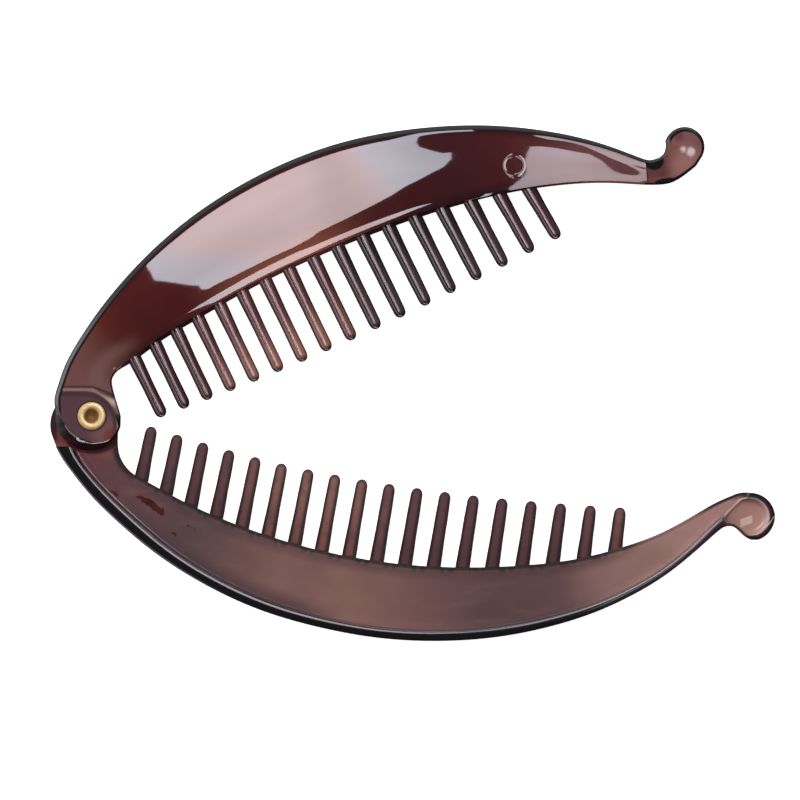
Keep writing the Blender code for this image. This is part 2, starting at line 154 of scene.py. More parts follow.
# Length of a tooth's rounded tip, in widths of its end
TOOTH_CAP = 0.62
# Above 1 the teeth's fronts come to a soft ridge
RIDGE = 1.25
# Widths at root, middle and end, for the first half of the teeth and for the second, and the places in
# the row between which the first become the second
UPPER_TOOTH_WIDTHS = ((2.85, 2.52, 2.57), (3.03, 2.70, 2.50))
LOWER_TOOTH_WIDTHS = ((2.97, 2.60, 2.42), (2.97, 2.66, 2.42))
WIDTH_CHANGE = (0.42, 0.65)
# Measure across a tooth, in half widths, that is given to points beside the teeth
OFF_TOOTH = 9.0

# Steps that let each lug pass under or over the other, in millimetres from the rivet
UPPER_STEP = ((-14.0, 6.1), (-0.2, 6.1), (4.3, 4.9), (9.0, 4.1), (9.0, -14.0), (-14.0, -14.0))
LOWER_STEP_ARC = (7.85, -12.0, -127.5)
LOWER_STEP_REST = ((-14.0, -6.3), (-14.0, 9.0), (12.0, 9.0), (12.0, -1.6))

# Drop-shaped pockets in the hooks: centre x, centre y, radius, tip x, tip y in millimetres
UPPER_POCKET = (121.8, 55.2, 2.7, 118.6, 51.4)
LOWER_POCKET = (134.95, -20.6, 3.75, 128.9, -21.3)
# Their cutters: level of the mouth, level of the floor, rounding of the mouth, rise of the floor's sides
UPPER_POCKET_CUT = (RIM_END, -0.05, -0.15, -0.4)
LOWER_POCKET_CUT = (-RIM_END, 0.05, 0.32, 1.0)
POCKET_START = 1.5
# How closely a drop follows its tip, and how much further than its side the tip moves when it grows
DROP_POINT = 3.5
TIP_GROWTH = 1.2
# Edge of the half-thick step as it shows through the upper lug: its y, the x where it bends, and its slope
STEP_SHOWS = (5.95, 0.2, 0.424)
# Dark red smudges in the lower arm: x, y, size in millimetres
SMUDGES = (
    (11.0, -17.5, 1.5), (13.2, -18.9, 2.1), (5.0, -16.2, 1.3), (20.4, -23.0, 0.7), (16.6, -24.2, 0.6),
)
# Ring mark on the upper arm's face: centre x, centre y, radius, and its groove's width, its depth at its
# edges and how much deeper its middle is
RING_MARK = (86.55, 51.4, 2.08)
RING_GROOVE = (0.86, 0.035, 0.065)
RING_MARGIN = 0.02
BORE_RADIUS = 2.25

# What differs between the arms. Lug: rows between which its flat face becomes the crowned one. Lip: rows
# where the lip along the teeth begins and ends. Hook: the row and the x where it starts
UPPER_ARM = {
    "side": 1.0, "sections": UPPER_SECTIONS, "ends": UPPER_ENDS, "lug": (2.0, 5.5),
    "lip": (3.4, 5.2, 10.8, 12.4), "hook": 15.5, "hook_x": 113.4, "teeth": UPPER_TOOTH_ROWS,
    "tooth_count": 17, "tooth_widths": UPPER_TOOTH_WIDTHS, "pocket": UPPER_POCKET,
}
LOWER_ARM = {
    "side": -1.0, "sections": LOWER_SECTIONS, "ends": LOWER_ENDS, "lug": (1.0, 4.5),
    "lip": (2.0, 4.0, 13.6, 14.6), "hook": 16.5, "hook_x": 129.0, "teeth": LOWER_TOOTH_ROWS,
    "tooth_count": 18, "tooth_widths": LOWER_TOOTH_WIDTHS, "pocket": LOWER_POCKET,
}

# Colours along each arm from the hinge to the tail: place, colour
GLOSSY_SHADES = (
    (0.00, "6c4a4a"), (0.07, "7b5755"), (0.10, "784f4c"), (0.13, "70443f"), (0.16, "5e2823"),
    (0.20, "532120"), (0.26, "531f20"), (0.34, "5b2a26"), (0.43, "5f2b26"), (0.52, "572a28"),
    (0.60, "471c20"), (0.66, "431f25"), (0.72, "502224"), (0.77, "5e2f33"), (0.82, "70474a"),
    (0.90, "70474a"), (0.93, "6a4040"), (0.95, "82524d"), (0.97, "946862"), (0.99, "83585a"),
)
MATT_SHADES = (
    (0.00, "6e3f43"), (0.06, "7a4a4a"), (0.12, "6b474a"), (0.18, "674a4e"), (0.24, "5d484b"),
    (0.30, "735553"), (0.36, "88645e"), (0.42, "8f6962"), (0.48, "8b655e"), (0.54, "785855"),
    (0.60, "6a4d4e"), (0.66, "634b4d"), (0.71, "6e5051"), (0.76, "916d6a"), (0.82, "a37d76"),
    (0.88, "aa847c"), (0.93, "ab827c"), (0.97, "b58b83"),
)
# Cloudy spots on the upper hook: x, y, where each begins and is full, strength, colour
HOOK_SPOTS = (
    (122.6, 57.4, 2.6, 0.6, 0.6, "875c60"), (120.4, 57.4, 1.6, 0.4, 0.6, "74303c"),
    (119.4, 55.2, 1.5, 0.3, 0.6, "8a5136"), (121.4, 51.4, 4.4, 0.8, 0.75, "ab7a74"),
    (114.8, 49.8, 2.6, 0.6, 0.5, "784440"),
)


def smoothstep(value, start, end):
    t = min(1.0, max(0.0, (value - start) / (end - start)))
    return t * t * (3.0 - 2.0 * t)


def arc(x, y, across, up, start, stop, count):
    """Points on an arc about a centre, from its half widths and from its first to its last degree."""
    turns = [math.radians(start + (stop - start) * i / (count - 1)) for i in range(count)]
    return [(x + across * math.cos(turn), y + up * math.sin(turn)) for turn in turns]


def spline(rows, places):
    """Natural cubic spline through evenly spaced rows, read at the given row numbers."""
    rows = np.asarray(rows, float)
    count = len(rows)
    matrix = np.eye(count)
    right = np.zeros_like(rows)
    for i in range(1, count - 1):
        matrix[i, i - 1 : i + 2] = (1.0, 4.0, 1.0)
        right[i] = 6.0 * (rows[i - 1] - 2.0 * rows[i] + rows[i + 1])
    bend = np.linalg.solve(matrix, right)
    result = []
    for place in places:
        i = min(int(place), count - 2)
        b = place - i
        a = 1.0 - b
        curve = (a**3 - a) * bend[i] + (b**3 - b) * bend[i + 1]
        result.append(a * rows[i] + b * rows[i + 1] + curve / 6.0)
    return np.array(result)


def edge_fall(share, band, hook=0.0):
    """How far a rounded edge lies below its crease, at a share of the way in from the side."""
    share = min(1.0, max(0.0, share))
    low, high = (math.radians(a + (b - a) * hook) for a, b in zip(BAND_TILT, HOOK_TILT))
    reach = math.sin(high) - math.sin(low)
    tilt = math.asin(math.sin(high) - share * reach)
    return band * (math.cos(low) - math.cos(tilt)) / reach


def end_stations(end, towards_end):
    """Chords across a round end, each with the circle that the end follows."""
    x, y, radius, outer_deg, inner_deg, meet_deg = end
    centre = np.array((x, y))
    meet_outer = meet_deg + (360.0 if outer_deg - meet_deg > 180.0 else 0.0)
    stations = []
    for i in range(END_STEPS):
        share = LAST_CHORD * (i / (END_STEPS - 1)) ** 0.9
        ends = []
        for start, stop in ((outer_deg, meet_outer), (inner_deg, meet_deg)):
            angle = math.radians(start + (stop - start) * share)
            ends.append(centre + radius * np.array((math.cos(angle), math.sin(angle))))
        stations.append((ends[0], ends[1], (centre, radius)))
    return stations if towards_end else stations[::-1]


def lug_band(x, y):
    """Width of the rounded edge round the upper lug, widest at its lower left."""
    turn = math.degrees(math.atan2(y - UPPER_ENDS[0][1], x - UPPER_ENDS[0][0]))
    return float(np.interp(turn % 360.0, LUG_TURNS, LUG_BANDS))


def front_profile(width, lug, hook, lip, crown_per_width, band):
    """Front of a section: (distance in from the outer edge, height), outer edge first."""
    squeeze = min(1.0, width / FULL_WIDTH)
    flat = max(lug, hook)
    faces = (FACE_OUTER, FACE_INNER)
    outer_z, inner_z = (z + (LUG_FACE - z) * lug + (HOOK_FACE - z) * hook for z in faces)
    crown = crown_per_width * width * (1.0 - flat)
    band *= squeeze
    profile = []
    for i in range(EDGE_POINTS):
        share = i / (EDGE_POINTS - 1.0)
        profile.append((band * share, outer_z - edge_fall(share, band, hook)))
    inner_side = []
    for depth, share in LIP_EDGE:
        inward = depth / LIP_EDGE[0][0]
        distance = (CHAMFER[0] + HOOK_CHAMFER[0] * hook) * inward
        distance += (depth - distance) * lip
        drop = (CHAMFER[1] + HOOK_CHAMFER[1] * hook) * (1.0 - inward)
        plain = inner_z - drop if inward else SIDE_TOP
        height = plain + (SIDE_TOP + (inner_z - SIDE_TOP) * share - plain) * lip
        inner_side.append((width - distance * squeeze, height))
    start = profile[-1]
    stop = inner_side[0]
    for i in range(1, FRONT_STEPS):
        t = i / FRONT_STEPS
        bulge = 4.0 * t * (1.0 - t) * crown
        profile.append((start[0] + (stop[0] - start[0]) * t, start[1] + (stop[1] - start[1]) * t + bulge))
    return profile + inner_side


def round_end_profile(outer, inner, circle, face, band_at, hook):
    """Front of a chord across a round end, its points set on the crease: (place, height)."""
    centre, radius = circle
    middle = 0.5 * (outer + inner)
    direction = (inner - outer) / float(np.hypot(*(inner - outer)))
    off = float(np.hypot(*(middle - centre)))

    def place_at(depth, way):
        return middle + direction * way * math.sqrt(max(0.0, (radius - depth) ** 2 - off * off))

    def point(place):
        depth = radius - float(np.hypot(*(place - centre)))
        band = band_at(*place)
        steep = min(1.0, max(hook, 1.0 - (band - STEEP_BAND[0]) / STEEP_BAND[1]))
        return place, face - edge_fall(depth / band, band, steep)

    sides = []
    for end, way, steps in ((outer, -1.0, EDGE_POINTS), (inner, 1.0, len(LIP_EDGE))):
        band = band_at(*end)
        for _ in range(12):
            deepest = min(band, 0.999 * (radius - off))
            band = 0.5 * (band + band_at(*place_at(deepest, way)))
        sides.append([point(place_at(deepest * i / (steps - 1.0), way)) for i in range(steps)])
    outer_side, inner_side = sides
    start = outer_side[-1][0]
    stop = inner_side[-1][0]
    between = [point(start + (stop - start) * i / FRONT_STEPS) for i in range(1, FRONT_STEPS)]
    return outer_side + between + inner_side[::-1]


def back_profile(width, full, rim, fillet):
    """Back of a section, inner edge first. Full is 1 where the back is filled up to the rim's end."""
    squeeze = min(1.0, width / FULL_WIDTH)
    floor = BACK + (RIM_END - BACK) * full
    rim *= squeeze
    fillet *= squeeze
    cut = BACK_CUT * squeeze
    outside, foot = (size * squeeze for size in RIM_FOOT)
    profile = arc(width - cut, floor + cut, cut, -cut, 0.0, 90.0, 5)
    for i in range(1, 6):
        profile.append((width - cut + (rim + fillet - width + cut) * i / 6.0, floor))
    bevel = []
    bevel_width = RIM_BEVEL[0] * squeeze + RIM_BEVEL[1] * rim
    sink = 0.0
    for i in range(9):
        bevel.append((rim - 0.10 * squeeze - bevel_width * (1.0 - i / 8.0), RIM_END + sink))
        tilt = math.radians(BEVEL_TILT[0] + BEVEL_TILT[1] * (i + 0.5) / 8.0)
        sink += bevel_width / 8.0 * math.tan(tilt)
    bevel.append((rim - 0.02 * squeeze, bevel[-1][1] + 0.09 * squeeze))
    wall_end = bevel[-1][1] + 0.05
    for x, z in arc(rim + fillet, floor - fillet, fillet, fillet, 90.0, 180.0, 6):
        profile.append((x, min(floor, max(z, wall_end))))
    return profile + bevel[::-1] + arc(outside, RIM_END + foot, outside, -foot, 90.0, 180.0, 8)


def section(outer, inner, shares, crown_per_width, band, rim, fillet, hook_x, circle=None):
    """One closed section of an arm. A round end's front follows its circle."""
    lug, hook, lip, full = shares
    across = inner - outer
    width = float(np.hypot(*across))
    direction = across / width
    if circle is None:
        profile = front_profile(width, lug, hook, lip, crown_per_width, band)
        front = [(outer + direction * distance, z) for distance, z in profile]
    else:
        band_at = lug_band if lug else (lambda x, y: band)
        front = round_end_profile(outer, inner, circle, LUG_FACE * lug + HOOK_FACE * hook, band_at, hook)
    points = []
    for place, z in front:
        z -= hook * HOOK_SLOPE * max(0.0, place[0] - hook_x)
        points.append((place[0], place[1], z))
    for distance, z in back_profile(width, full, rim, fillet):
        place = outer + direction * distance
        points.append((place[0], place[1], z))
    return points


def arm_rings(arm, crown, sizes):
    """The sections of an arm from the lug's end to the hook's, with its edge lines and band widths."""
    rings = []
    rows = []
    last = len(arm["sections"]) - 1.0
    lip_start, lip_full, lip_fade, lip_end = arm["lip"]
    in_metres = (sizes.outer_band, sizes.tail_band, sizes.hook_band, sizes.rim_fillet)
    wide, narrow, hooked, fillet = (size / MM for size in in_metres)
    fade_start, fade_end = (last * share for share in TAIL_NARROWING)

    def add(outer, inner, shares, place, circle=None):
        band = wide + (narrow - wide) * smoothstep(place, fade_start, fade_end)
        band -= HINGE_NARROWING * (1.0 - smoothstep(place, *HINGE_ROWS))
        band += (hooked - band) * shares[1]
        rim = sizes.rim_scale * float(np.interp(place, RIM_ROWS, RIM_WIDTHS))
        rows.append((outer, inner, band, rim))
        rings.append(section(outer, inner, shares, crown, band, rim, fillet, arm["hook_x"], circle))

    for outer, inner, circle in end_stations(arm["ends"][0], False):
        add(outer, inner, (1.0, 0.0, 0.0, 0.0), 0.0, circle)
    places = [i / STEPS_PER_ROW for i in range(int(last) * STEPS_PER_ROW + 1)]
    for place, edge in zip(places, spline(arm["sections"], places)):
        lug = 1.0 - smoothstep(place, *arm["lug"])
        hook = min(1.0, max(0.0, (place - arm["hook"]) / HOOK_CREASE))
        lip = smoothstep(place, lip_start, lip_full) * (1.0 - smoothstep(place, lip_fade, lip_end))
        full = smoothstep(place, last - 2.0, last)
        add(edge[:2], edge[2:], (lug, hook, lip, full), place)
    for outer, inner, circle in end_stations(arm["ends"][1], True):
        add(outer, inner, (0.0, 1.0, 0.0, 1.0), last, circle)
    return rings, [np.array(line) for line in zip(*rows)]


def add_loft(form, rings, side=1.0):
    """A closed loft. Side is 1 for an arm with its front up and -1 for one that is turned over."""
    made = [[form.verts.new((x * MM, y * MM, z * MM * side)) for x, y, z in ring] for ring in rings]
    size = len(made[0])
    for one, two in zip(made, made[1:]):
        for i in range(size):
            j = (i + 1) % size
            form.faces.new((one[i], one[j], two[j], two[i]))
    form.faces.new(made[0])
    form.faces.new(made[-1])


def mesh_object(name, form):
    """Turns a form into an object that stands at the rivet."""
    bmesh.ops.recalc_face_normals(form, faces=form.faces)
    mesh = bpy.data.meshes.new(name)
    form.to_mesh(mesh)
    form.free()
    obj = bpy.data.objects.new(name, mesh)
    obj.location = PIVOT
    bpy.context.scene.collection.objects.link(obj)
    return obj


def tooth_axes(rows, count):
    """Root, direction and length of every tooth."""
    axes = []
    for root_x, root_y, tip_x, tip_y in spline(rows, [4.0 * i / (count - 1) for i in range(count)]):
        root = np.array((root_x, root_y))
        tip = np.array((tip_x, tip_y))
        length = float(np.hypot(*(tip - root)))
        axes.append((root, (tip - root) / length, length))
    return axes


def tooth_rings(axis, widths):
    """Sections of one tooth: flat behind, half round in front, a rounded tip and a squared root end."""
    root, along, length = axis
    across = np.array((-along[1], along[0]))
    root_width, mid_width, end_width = widths
    cap = TOOTH_CAP * end_width

    # Stages along the tooth: place, width, share of the thickness. First the root inside the plate
    stages = []
    for i in range(6):
        turn = math.radians(84.0 - 84.0 * i / 5)
        sink = 1.0 - math.cos(turn)
        stages.append((-0.26 - 0.42 * math.sin(turn), root_width * (1.0 - 0.05 * sink), 1.0 - 0.34 * sink))
    # The shaft
    for i in range(1, 15):
        place = i / 14.0 * (length - cap)
        share = place / length
        if share < 0.5:
            width = root_width + (mid_width - root_width) * smoothstep(share, 0.0, 0.5)
        else:
            width = mid_width + (end_width - mid_width) * smoothstep(share, 0.6, 0.95)
        dip = 0.10 * smoothstep(share, 0.45, 0.85) - 0.05 * smoothstep(share, 0.85, 0.95)
        stages.append((place, width, 1.0 - dip))
    # The tip
    for i in range(1, 10):
        turn = math.radians(88.0 * i / 9)
        size = math.cos(turn) ** 0.85
        stages.append((length - cap + cap * math.sin(turn), end_width * size, 0.94 * (0.30 + 0.70 * size)))

    # One section, in widths and thicknesses: the ridged front, then the back with its rounded corners
    outline = []
    for i in range(17):
        turn = math.pi * i / 16
        side = math.copysign(abs(math.cos(turn)) ** RIDGE, math.cos(turn))
        outline.append((0.5 * side, 0.22 + 0.76 * math.sin(turn) ** RIDGE))
    corner = arc(-0.41, 0.22, -0.09, -0.22, 0.0, 90.0, 5)[1:4]
    outline += corner + [(-0.38, 0.0), (0.0, 0.0), (0.38, 0.0)] + [(-x, y) for x, y in corner[::-1]]

    rings = []
    for distance, width, height in stages:
        place = root + along * distance
        lift = 0.40 * (1.0 - height) * TOOTH_THICK
        ring = []
        for u, v in outline:
            point = place + across * u * width
            ring.append((point[0], point[1], TOOTH_BACK + lift + v * height * TOOTH_THICK))
        rings.append(ring)
    return rings


def stacked_cutter(name, outlines):
    """A closed form through outlines of equal length, each given with its own height."""
    form = bmesh.new()
    add_loft(form, [[(x, y, z) for x, y in outline] for z, outline in outlines])
    return mesh_object(name, form)


def circle_points(x, y, radius, count=ROUND_SIDES):
    angles = [2.0 * math.pi * i / count for i in range(count)]
    return [(x + radius * math.cos(a), y + radius * math.sin(a)) for a in angles]


def drop_outline(drop, grow):
    """A circle drawn out to a soft point, moved outwards by grow."""
    x, y, radius, tip_x, tip_y = drop
    towards_tip = math.atan2(tip_y - y, tip_x - x)
    reach = math.hypot(tip_x - x, tip_y - y)
    opening = math.acos(radius / reach)
    radius += grow
    reach += grow * TIP_GROWTH
    ends = (towards_tip + opening, towards_tip + 2.0 * math.pi - opening)
    outline = arc(x, y, radius, radius, math.degrees(ends[0]), math.degrees(ends[1]), ROUND_SIDES)
    first = np.array(outline[0])
    final = np.array(outline[-1])
    tip = np.array((x + reach * math.cos(towards_tip), y + reach * math.sin(towards_tip)))
    for i in range(1, 12):
        t = i / 12.0
        shares = ((1 - t) ** 2, DROP_POINT * 2 * t * (1 - t), t * t)
        point = (shares[0] * final + shares[1] * tip + shares[2] * first) / sum(shares)
        outline.append(tuple(point))
    return outline


def pocket_cutter(name, drop, face, floor, bevel, bowl):
    """A cutter for a pocket with a rounded mouth and a rounded floor."""
    # This start is outside the lower arm but inside the upper one, whose pocket keeps a loose plug
    outlines = [(face + POCKET_START, drop_outline(drop, bevel))]
    for i in range(5):
        turn = math.radians(90.0 * i / 4)
        outlines.append((face - bevel * math.sin(turn), drop_outline(drop, bevel * math.cos(turn) ** 2)))
    for i in range(6):
        turn = math.radians(90.0 * i / 5)
        grow = -bowl * (1.0 - math.cos(turn))
        outlines.append((floor + bowl * (1.0 - math.sin(turn)), drop_outline(drop, grow)))
    return stacked_cutter(name, outlines)


def lathe(name, profile, segments, x=0.0, y=0.0, lifts=None):
    """A closed ring or solid turned about an upright axis. A radius of zero closes it on the axis.

    Lifts, one for each segment, raise it to follow a face."""
    form = bmesh.new()
    columns = []
    for radius, z in profile:
        if radius == 0.0:
            columns.append([form.verts.new((x * MM, y * MM, z * MM))] * segments)
            continue
        column = []
        for (px, py), lift in zip(circle_points(x, y, radius, segments), lifts or [0.0] * segments):
            column.append(form.verts.new((px * MM, py * MM, (z + lift) * MM)))
        columns.append(column)
    for one, two in zip(columns, columns[1:] + columns[:1]):
        for j in range(segments):
            k = (j + 1) % segments
            corners = list(dict.fromkeys((one[j], one[k], two[k], two[j])))
            if len(corners) > 2:
                form.faces.new(corners)
    return mesh_object(name, form)


def combine(obj, helpers):
    """Joins or cuts the helpers into the object and removes them."""
    for other, operation in helpers:
        modifier = obj.modifiers.new(other.name, "BOOLEAN")
        modifier.operation = operation
        modifier.solver = "EXACT"
        modifier.object = other
    graph = bpy.context.evaluated_depsgraph_get()
    mesh = bpy.data.meshes.new_from_object(obj.evaluated_get(graph))
    old = obj.data
    obj.modifiers.clear()
    obj.data = mesh
    bpy.data.meshes.remove(old)
    for other, _ in helpers:
        bpy.data.objects.remove(other, do_unlink=True)
    if len(obj.data.polygons) < FEWEST_FACES:
        raise RuntimeError(f"{obj.name} came out nearly empty")


def smooth(obj, angle):
    """Shades an object smooth, but for edges above an angle in degrees."""
    for face in obj.data.polygons:
        face.use_smooth = True
    obj.data.set_sharp_from_angle(angle=math.radians(angle))


def nearest_on_line(points, line):
    """Signed distance to a line of points, and the share of its length where it is nearest."""
    starts = line[:-1]
    steps = line[1:] - starts
    lengths = np.hypot(steps[:, 0], steps[:, 1])
    travelled = np.concatenate(([0.0], np.cumsum(lengths)))
    distances = np.empty(len(points))
    places = np.empty(len(points))
    for begin in range(0, len(points), 4000):
        part = points[begin : begin + 4000]
        gap = part[:, None, :] - starts[None]
        along = np.clip((gap * steps).sum(2) / (lengths**2), 0.0, 1.0)
        away = gap - along[:, :, None] * steps
        far = np.hypot(away[:, :, 0], away[:, :, 1])
        best = far.argmin(1)
        rows = np.arange(len(part))
        turn = steps[best, 0] * gap[rows, best, 1] - steps[best, 1] * gap[rows, best, 0]
        distances[begin : begin + 4000] = far[rows, best] * np.sign(turn)
        places[begin : begin + 4000] = travelled[best] + along[rows, best] * lengths[best]
    return distances, places / travelled[-1]


def add_measures(obj, lines, axes, arm):
    """Writes on each point how far it is from the edges, how far along the arm, and where on a tooth."""
    outers, inners, bands, rims = lines
    mesh = obj.data
    count = len(mesh.vertices)
    coords = np.empty(count * 3)
    mesh.vertices.foreach_get("co", coords)
    coords = coords.reshape(-1, 3) / MM
    plan = coords[:, :2]
    to_outer = nearest_on_line(plan, outers)[0]
    to_inner = nearest_on_line(plan, inners)[0]
    middles = 0.5 * (outers + inners)
    along = nearest_on_line(plan, middles)[1]
    travelled = np.concatenate(([0.0], np.cumsum(np.hypot(*np.diff(middles, axis=0).T))))
    band = np.interp(along, travelled / travelled[-1], bands)
    rim = np.interp(along, travelled / travelled[-1], rims)
    if arm is UPPER_ARM:
        # The lug's round end lies below this slanting line
        for i in np.nonzero(plan[:, 1] < UPPER_ENDS[0][1] + 0.5 - 0.25 * plan[:, 0])[0]:
            band[i] = lug_band(*plan[i])
    pocket = np.array(drop_outline(arm["pocket"], 0.0))
    to_pocket = nearest_on_line(plan, np.vstack((pocket, pocket[:1])))[0]
    turn = 1.0 if np.median(to_outer) > 0 else -1.0
    across = np.full(count, OFF_TOOTH)
    down = np.zeros(count)
    number = np.zeros(count)
    for i, (root, direction, length) in enumerate(axes):
        gap = plan - root
        v = gap @ direction / length
        u = (gap @ np.array((-direction[1], direction[0]))) / (0.5 * arm["tooth_widths"][0][1])
        near = (v > -0.2) & (v < 1.2) & (np.abs(u) < np.abs(across))
        across[near] = u[near]
        down[near] = v[near]
        number[near] = i / (len(axes) - 1.0)
    measures = {
        "edge_out": to_outer * turn,
        "edge_in": -to_inner * turn,
        "band": band,
        "rim": rim,
        "pocket": to_pocket,
        "along": along,
        "tooth_across": across,
        "tooth_down": down,
        "tooth_number": number,
        "level": coords[:, 2] * arm["side"],
    }
    for name, values in measures.items():
        attribute = mesh.attributes.new(name, "FLOAT", "POINT")
        attribute.data.foreach_set("value", np.asarray(values, np.float32))


class Value:
    """A shader value. An expression on values adds its Math nodes."""

    def __init__(self, graph, socket):
        self.graph = graph
        self.socket = socket

    def maths(self, operation, *terms):
        return self.graph.node("ShaderNodeMath", {"operation": operation}, dict(enumerate(terms)))

    def __add__(self, other):
        return self.maths("ADD", self, other)

    def __sub__(self, other):
        return self.maths("SUBTRACT", self, other)

    def __rsub__(self, other):
        return self.maths("SUBTRACT", other, self)

    def __mul__(self, other):
        return self.maths("MULTIPLY", self, other)

    def __truediv__(self, other):
        return self.maths("DIVIDE", self, other)

    def __pow__(self, other):
        return self.maths("POWER", self, other)

    def __abs__(self):
        return self.maths("ABSOLUTE", self)

    __radd__ = __add__
    __rmul__ = __mul__

    def larger(self, other):
        return self.maths("MAXIMUM", self, other)

    def smaller(self, other):
        return self.maths("MINIMUM", self, other)

    def step(self, start, end):
        """0 below start, 1 above end, smooth between. With start above end it falls instead."""
        inputs = {"Value": self, "From Min": start, "From Max": end}
        return self.graph.node("ShaderNodeMapRange", {"interpolation_type": "SMOOTHSTEP"}, inputs)

    def window(self, start, full, fade, end):
        """Rises from start to full and falls from fade to end."""
        return self.step(start, full) * self.step(end, fade)

    def line(self, place, width):
        """1 on a place, fading to 0 at this distance from it."""
        return abs(self - place).step(width, 0.0)


class Graph:
    """The nodes of one material or of the world."""

    def __init__(self, owner):
        owner.use_nodes = True
        self.owner = owner
        self.tree = owner.node_tree
        self.tree.nodes.clear()

    def node(self, kind, settings=None, inputs=None, output=0):
        made = self.tree.nodes.new(kind)
        for name, value in (settings or {}).items():
            if name == "stops":
                self.set_stops(made.color_ramp, value)
            else:
                setattr(made, name, value)
        for name, value in (inputs or {}).items():
            if isinstance(value, Value):
                self.tree.links.new(value.socket, made.inputs[name])
            else:
                made.inputs[name].default_value = value
        return Value(self, made.outputs[output]) if made.outputs else made

    @staticmethod
    def set_stops(ramp, stops):
        while len(ramp.elements) > 1:
            ramp.elements.remove(ramp.elements[-1])
        for i, (place, code) in enumerate(stops):
            stop = ramp.elements[0] if i == 0 else ramp.elements.new(place)
            stop.position = place
            stop.color = (*linear(code), 1.0)

    def measures(self, *names):
        """The measures of these names that add_measures wrote."""
        found = []
        for name in names:
            settings = {"attribute_name": name, "attribute_type": "GEOMETRY"}
            found.append(self.node("ShaderNodeAttribute", settings, output="Fac"))
        return found

    def mix(self, share, first, second):
        """Mixes two colours, each another node's, a hexadecimal code or numbers."""
        pair = []
        for item in (first, second):
            numbers = linear(item) if isinstance(item, str) else item
            pair.append(item if isinstance(item, Value) else (*numbers[:3], 1.0))
        inputs = {0: share, 6: pair[0], 7: pair[1]}
        return self.node("ShaderNodeMix", {"data_type": "RGBA"}, inputs, output=2)

    def ramp(self, share, stops):
        return self.node("ShaderNodeValToRGB", {"stops": stops}, {"Fac": share})

    def split(self, vector):
        """The three parts of a vector, each as a value."""
        made = self.node("ShaderNodeSeparateXYZ", None, {"Vector": vector})
        return [Value(self, socket) for socket in made.socket.node.outputs]

    def place(self):
        return self.node("ShaderNodeTexCoord", output="Object")

    def plan(self, place):
        """Where a place is in plan, in millimetres."""
        return [part * (1.0 / MM) for part in self.split(place)[:2]]

    def spread(self, x, y, centre_x, centre_y):
        """Distance in plan from a centre."""
        return ((x - centre_x) ** 2.0 + (y - centre_y) ** 2.0) ** 0.5

    def noise(self, vector, scale, detail=2.0, roughness=0.5, stretch=None):
        if stretch is not None:
            settings = {"operation": "MULTIPLY"}
            vector = self.node("ShaderNodeVectorMath", settings, {0: vector, 1: stretch})
        inputs = {"Vector": vector, "Scale": scale, "Detail": detail, "Roughness": roughness}
        return self.node("ShaderNodeTexNoise", {"noise_dimensions": "3D"}, inputs)

    def bump(self, height, strength, distance):
        inputs = {"Strength": strength, "Distance": distance, "Height": height}
        return self.node("ShaderNodeBump", None, inputs)

    def surface(self, kind, inputs):
        """Ends a material with its shader and gives the material."""
        shader = self.node(kind, None, inputs)
        self.node("ShaderNodeOutputMaterial", None, {"Surface": shader})
        return self.owner


class Paint:
    """A colour built up in layers. Each is laid on by its mask."""

    def __init__(self, graph, colour):
        self.graph = graph
        self.colour = colour

    def lay(self, colour, mask):
        self.colour = self.graph.mix(mask, self.colour, colour)


def linear(code):
    """A colour given in hexadecimal as a painter picks it, as the numbers that shaders use."""
    values = []
    for i in (0, 2, 4):
        value = int(code[i : i + 2], 16) / 255.0
        values.append(value / 12.92 if value <= 0.04045 else ((value + 0.055) / 1.055) ** 2.4)
    return tuple(values)


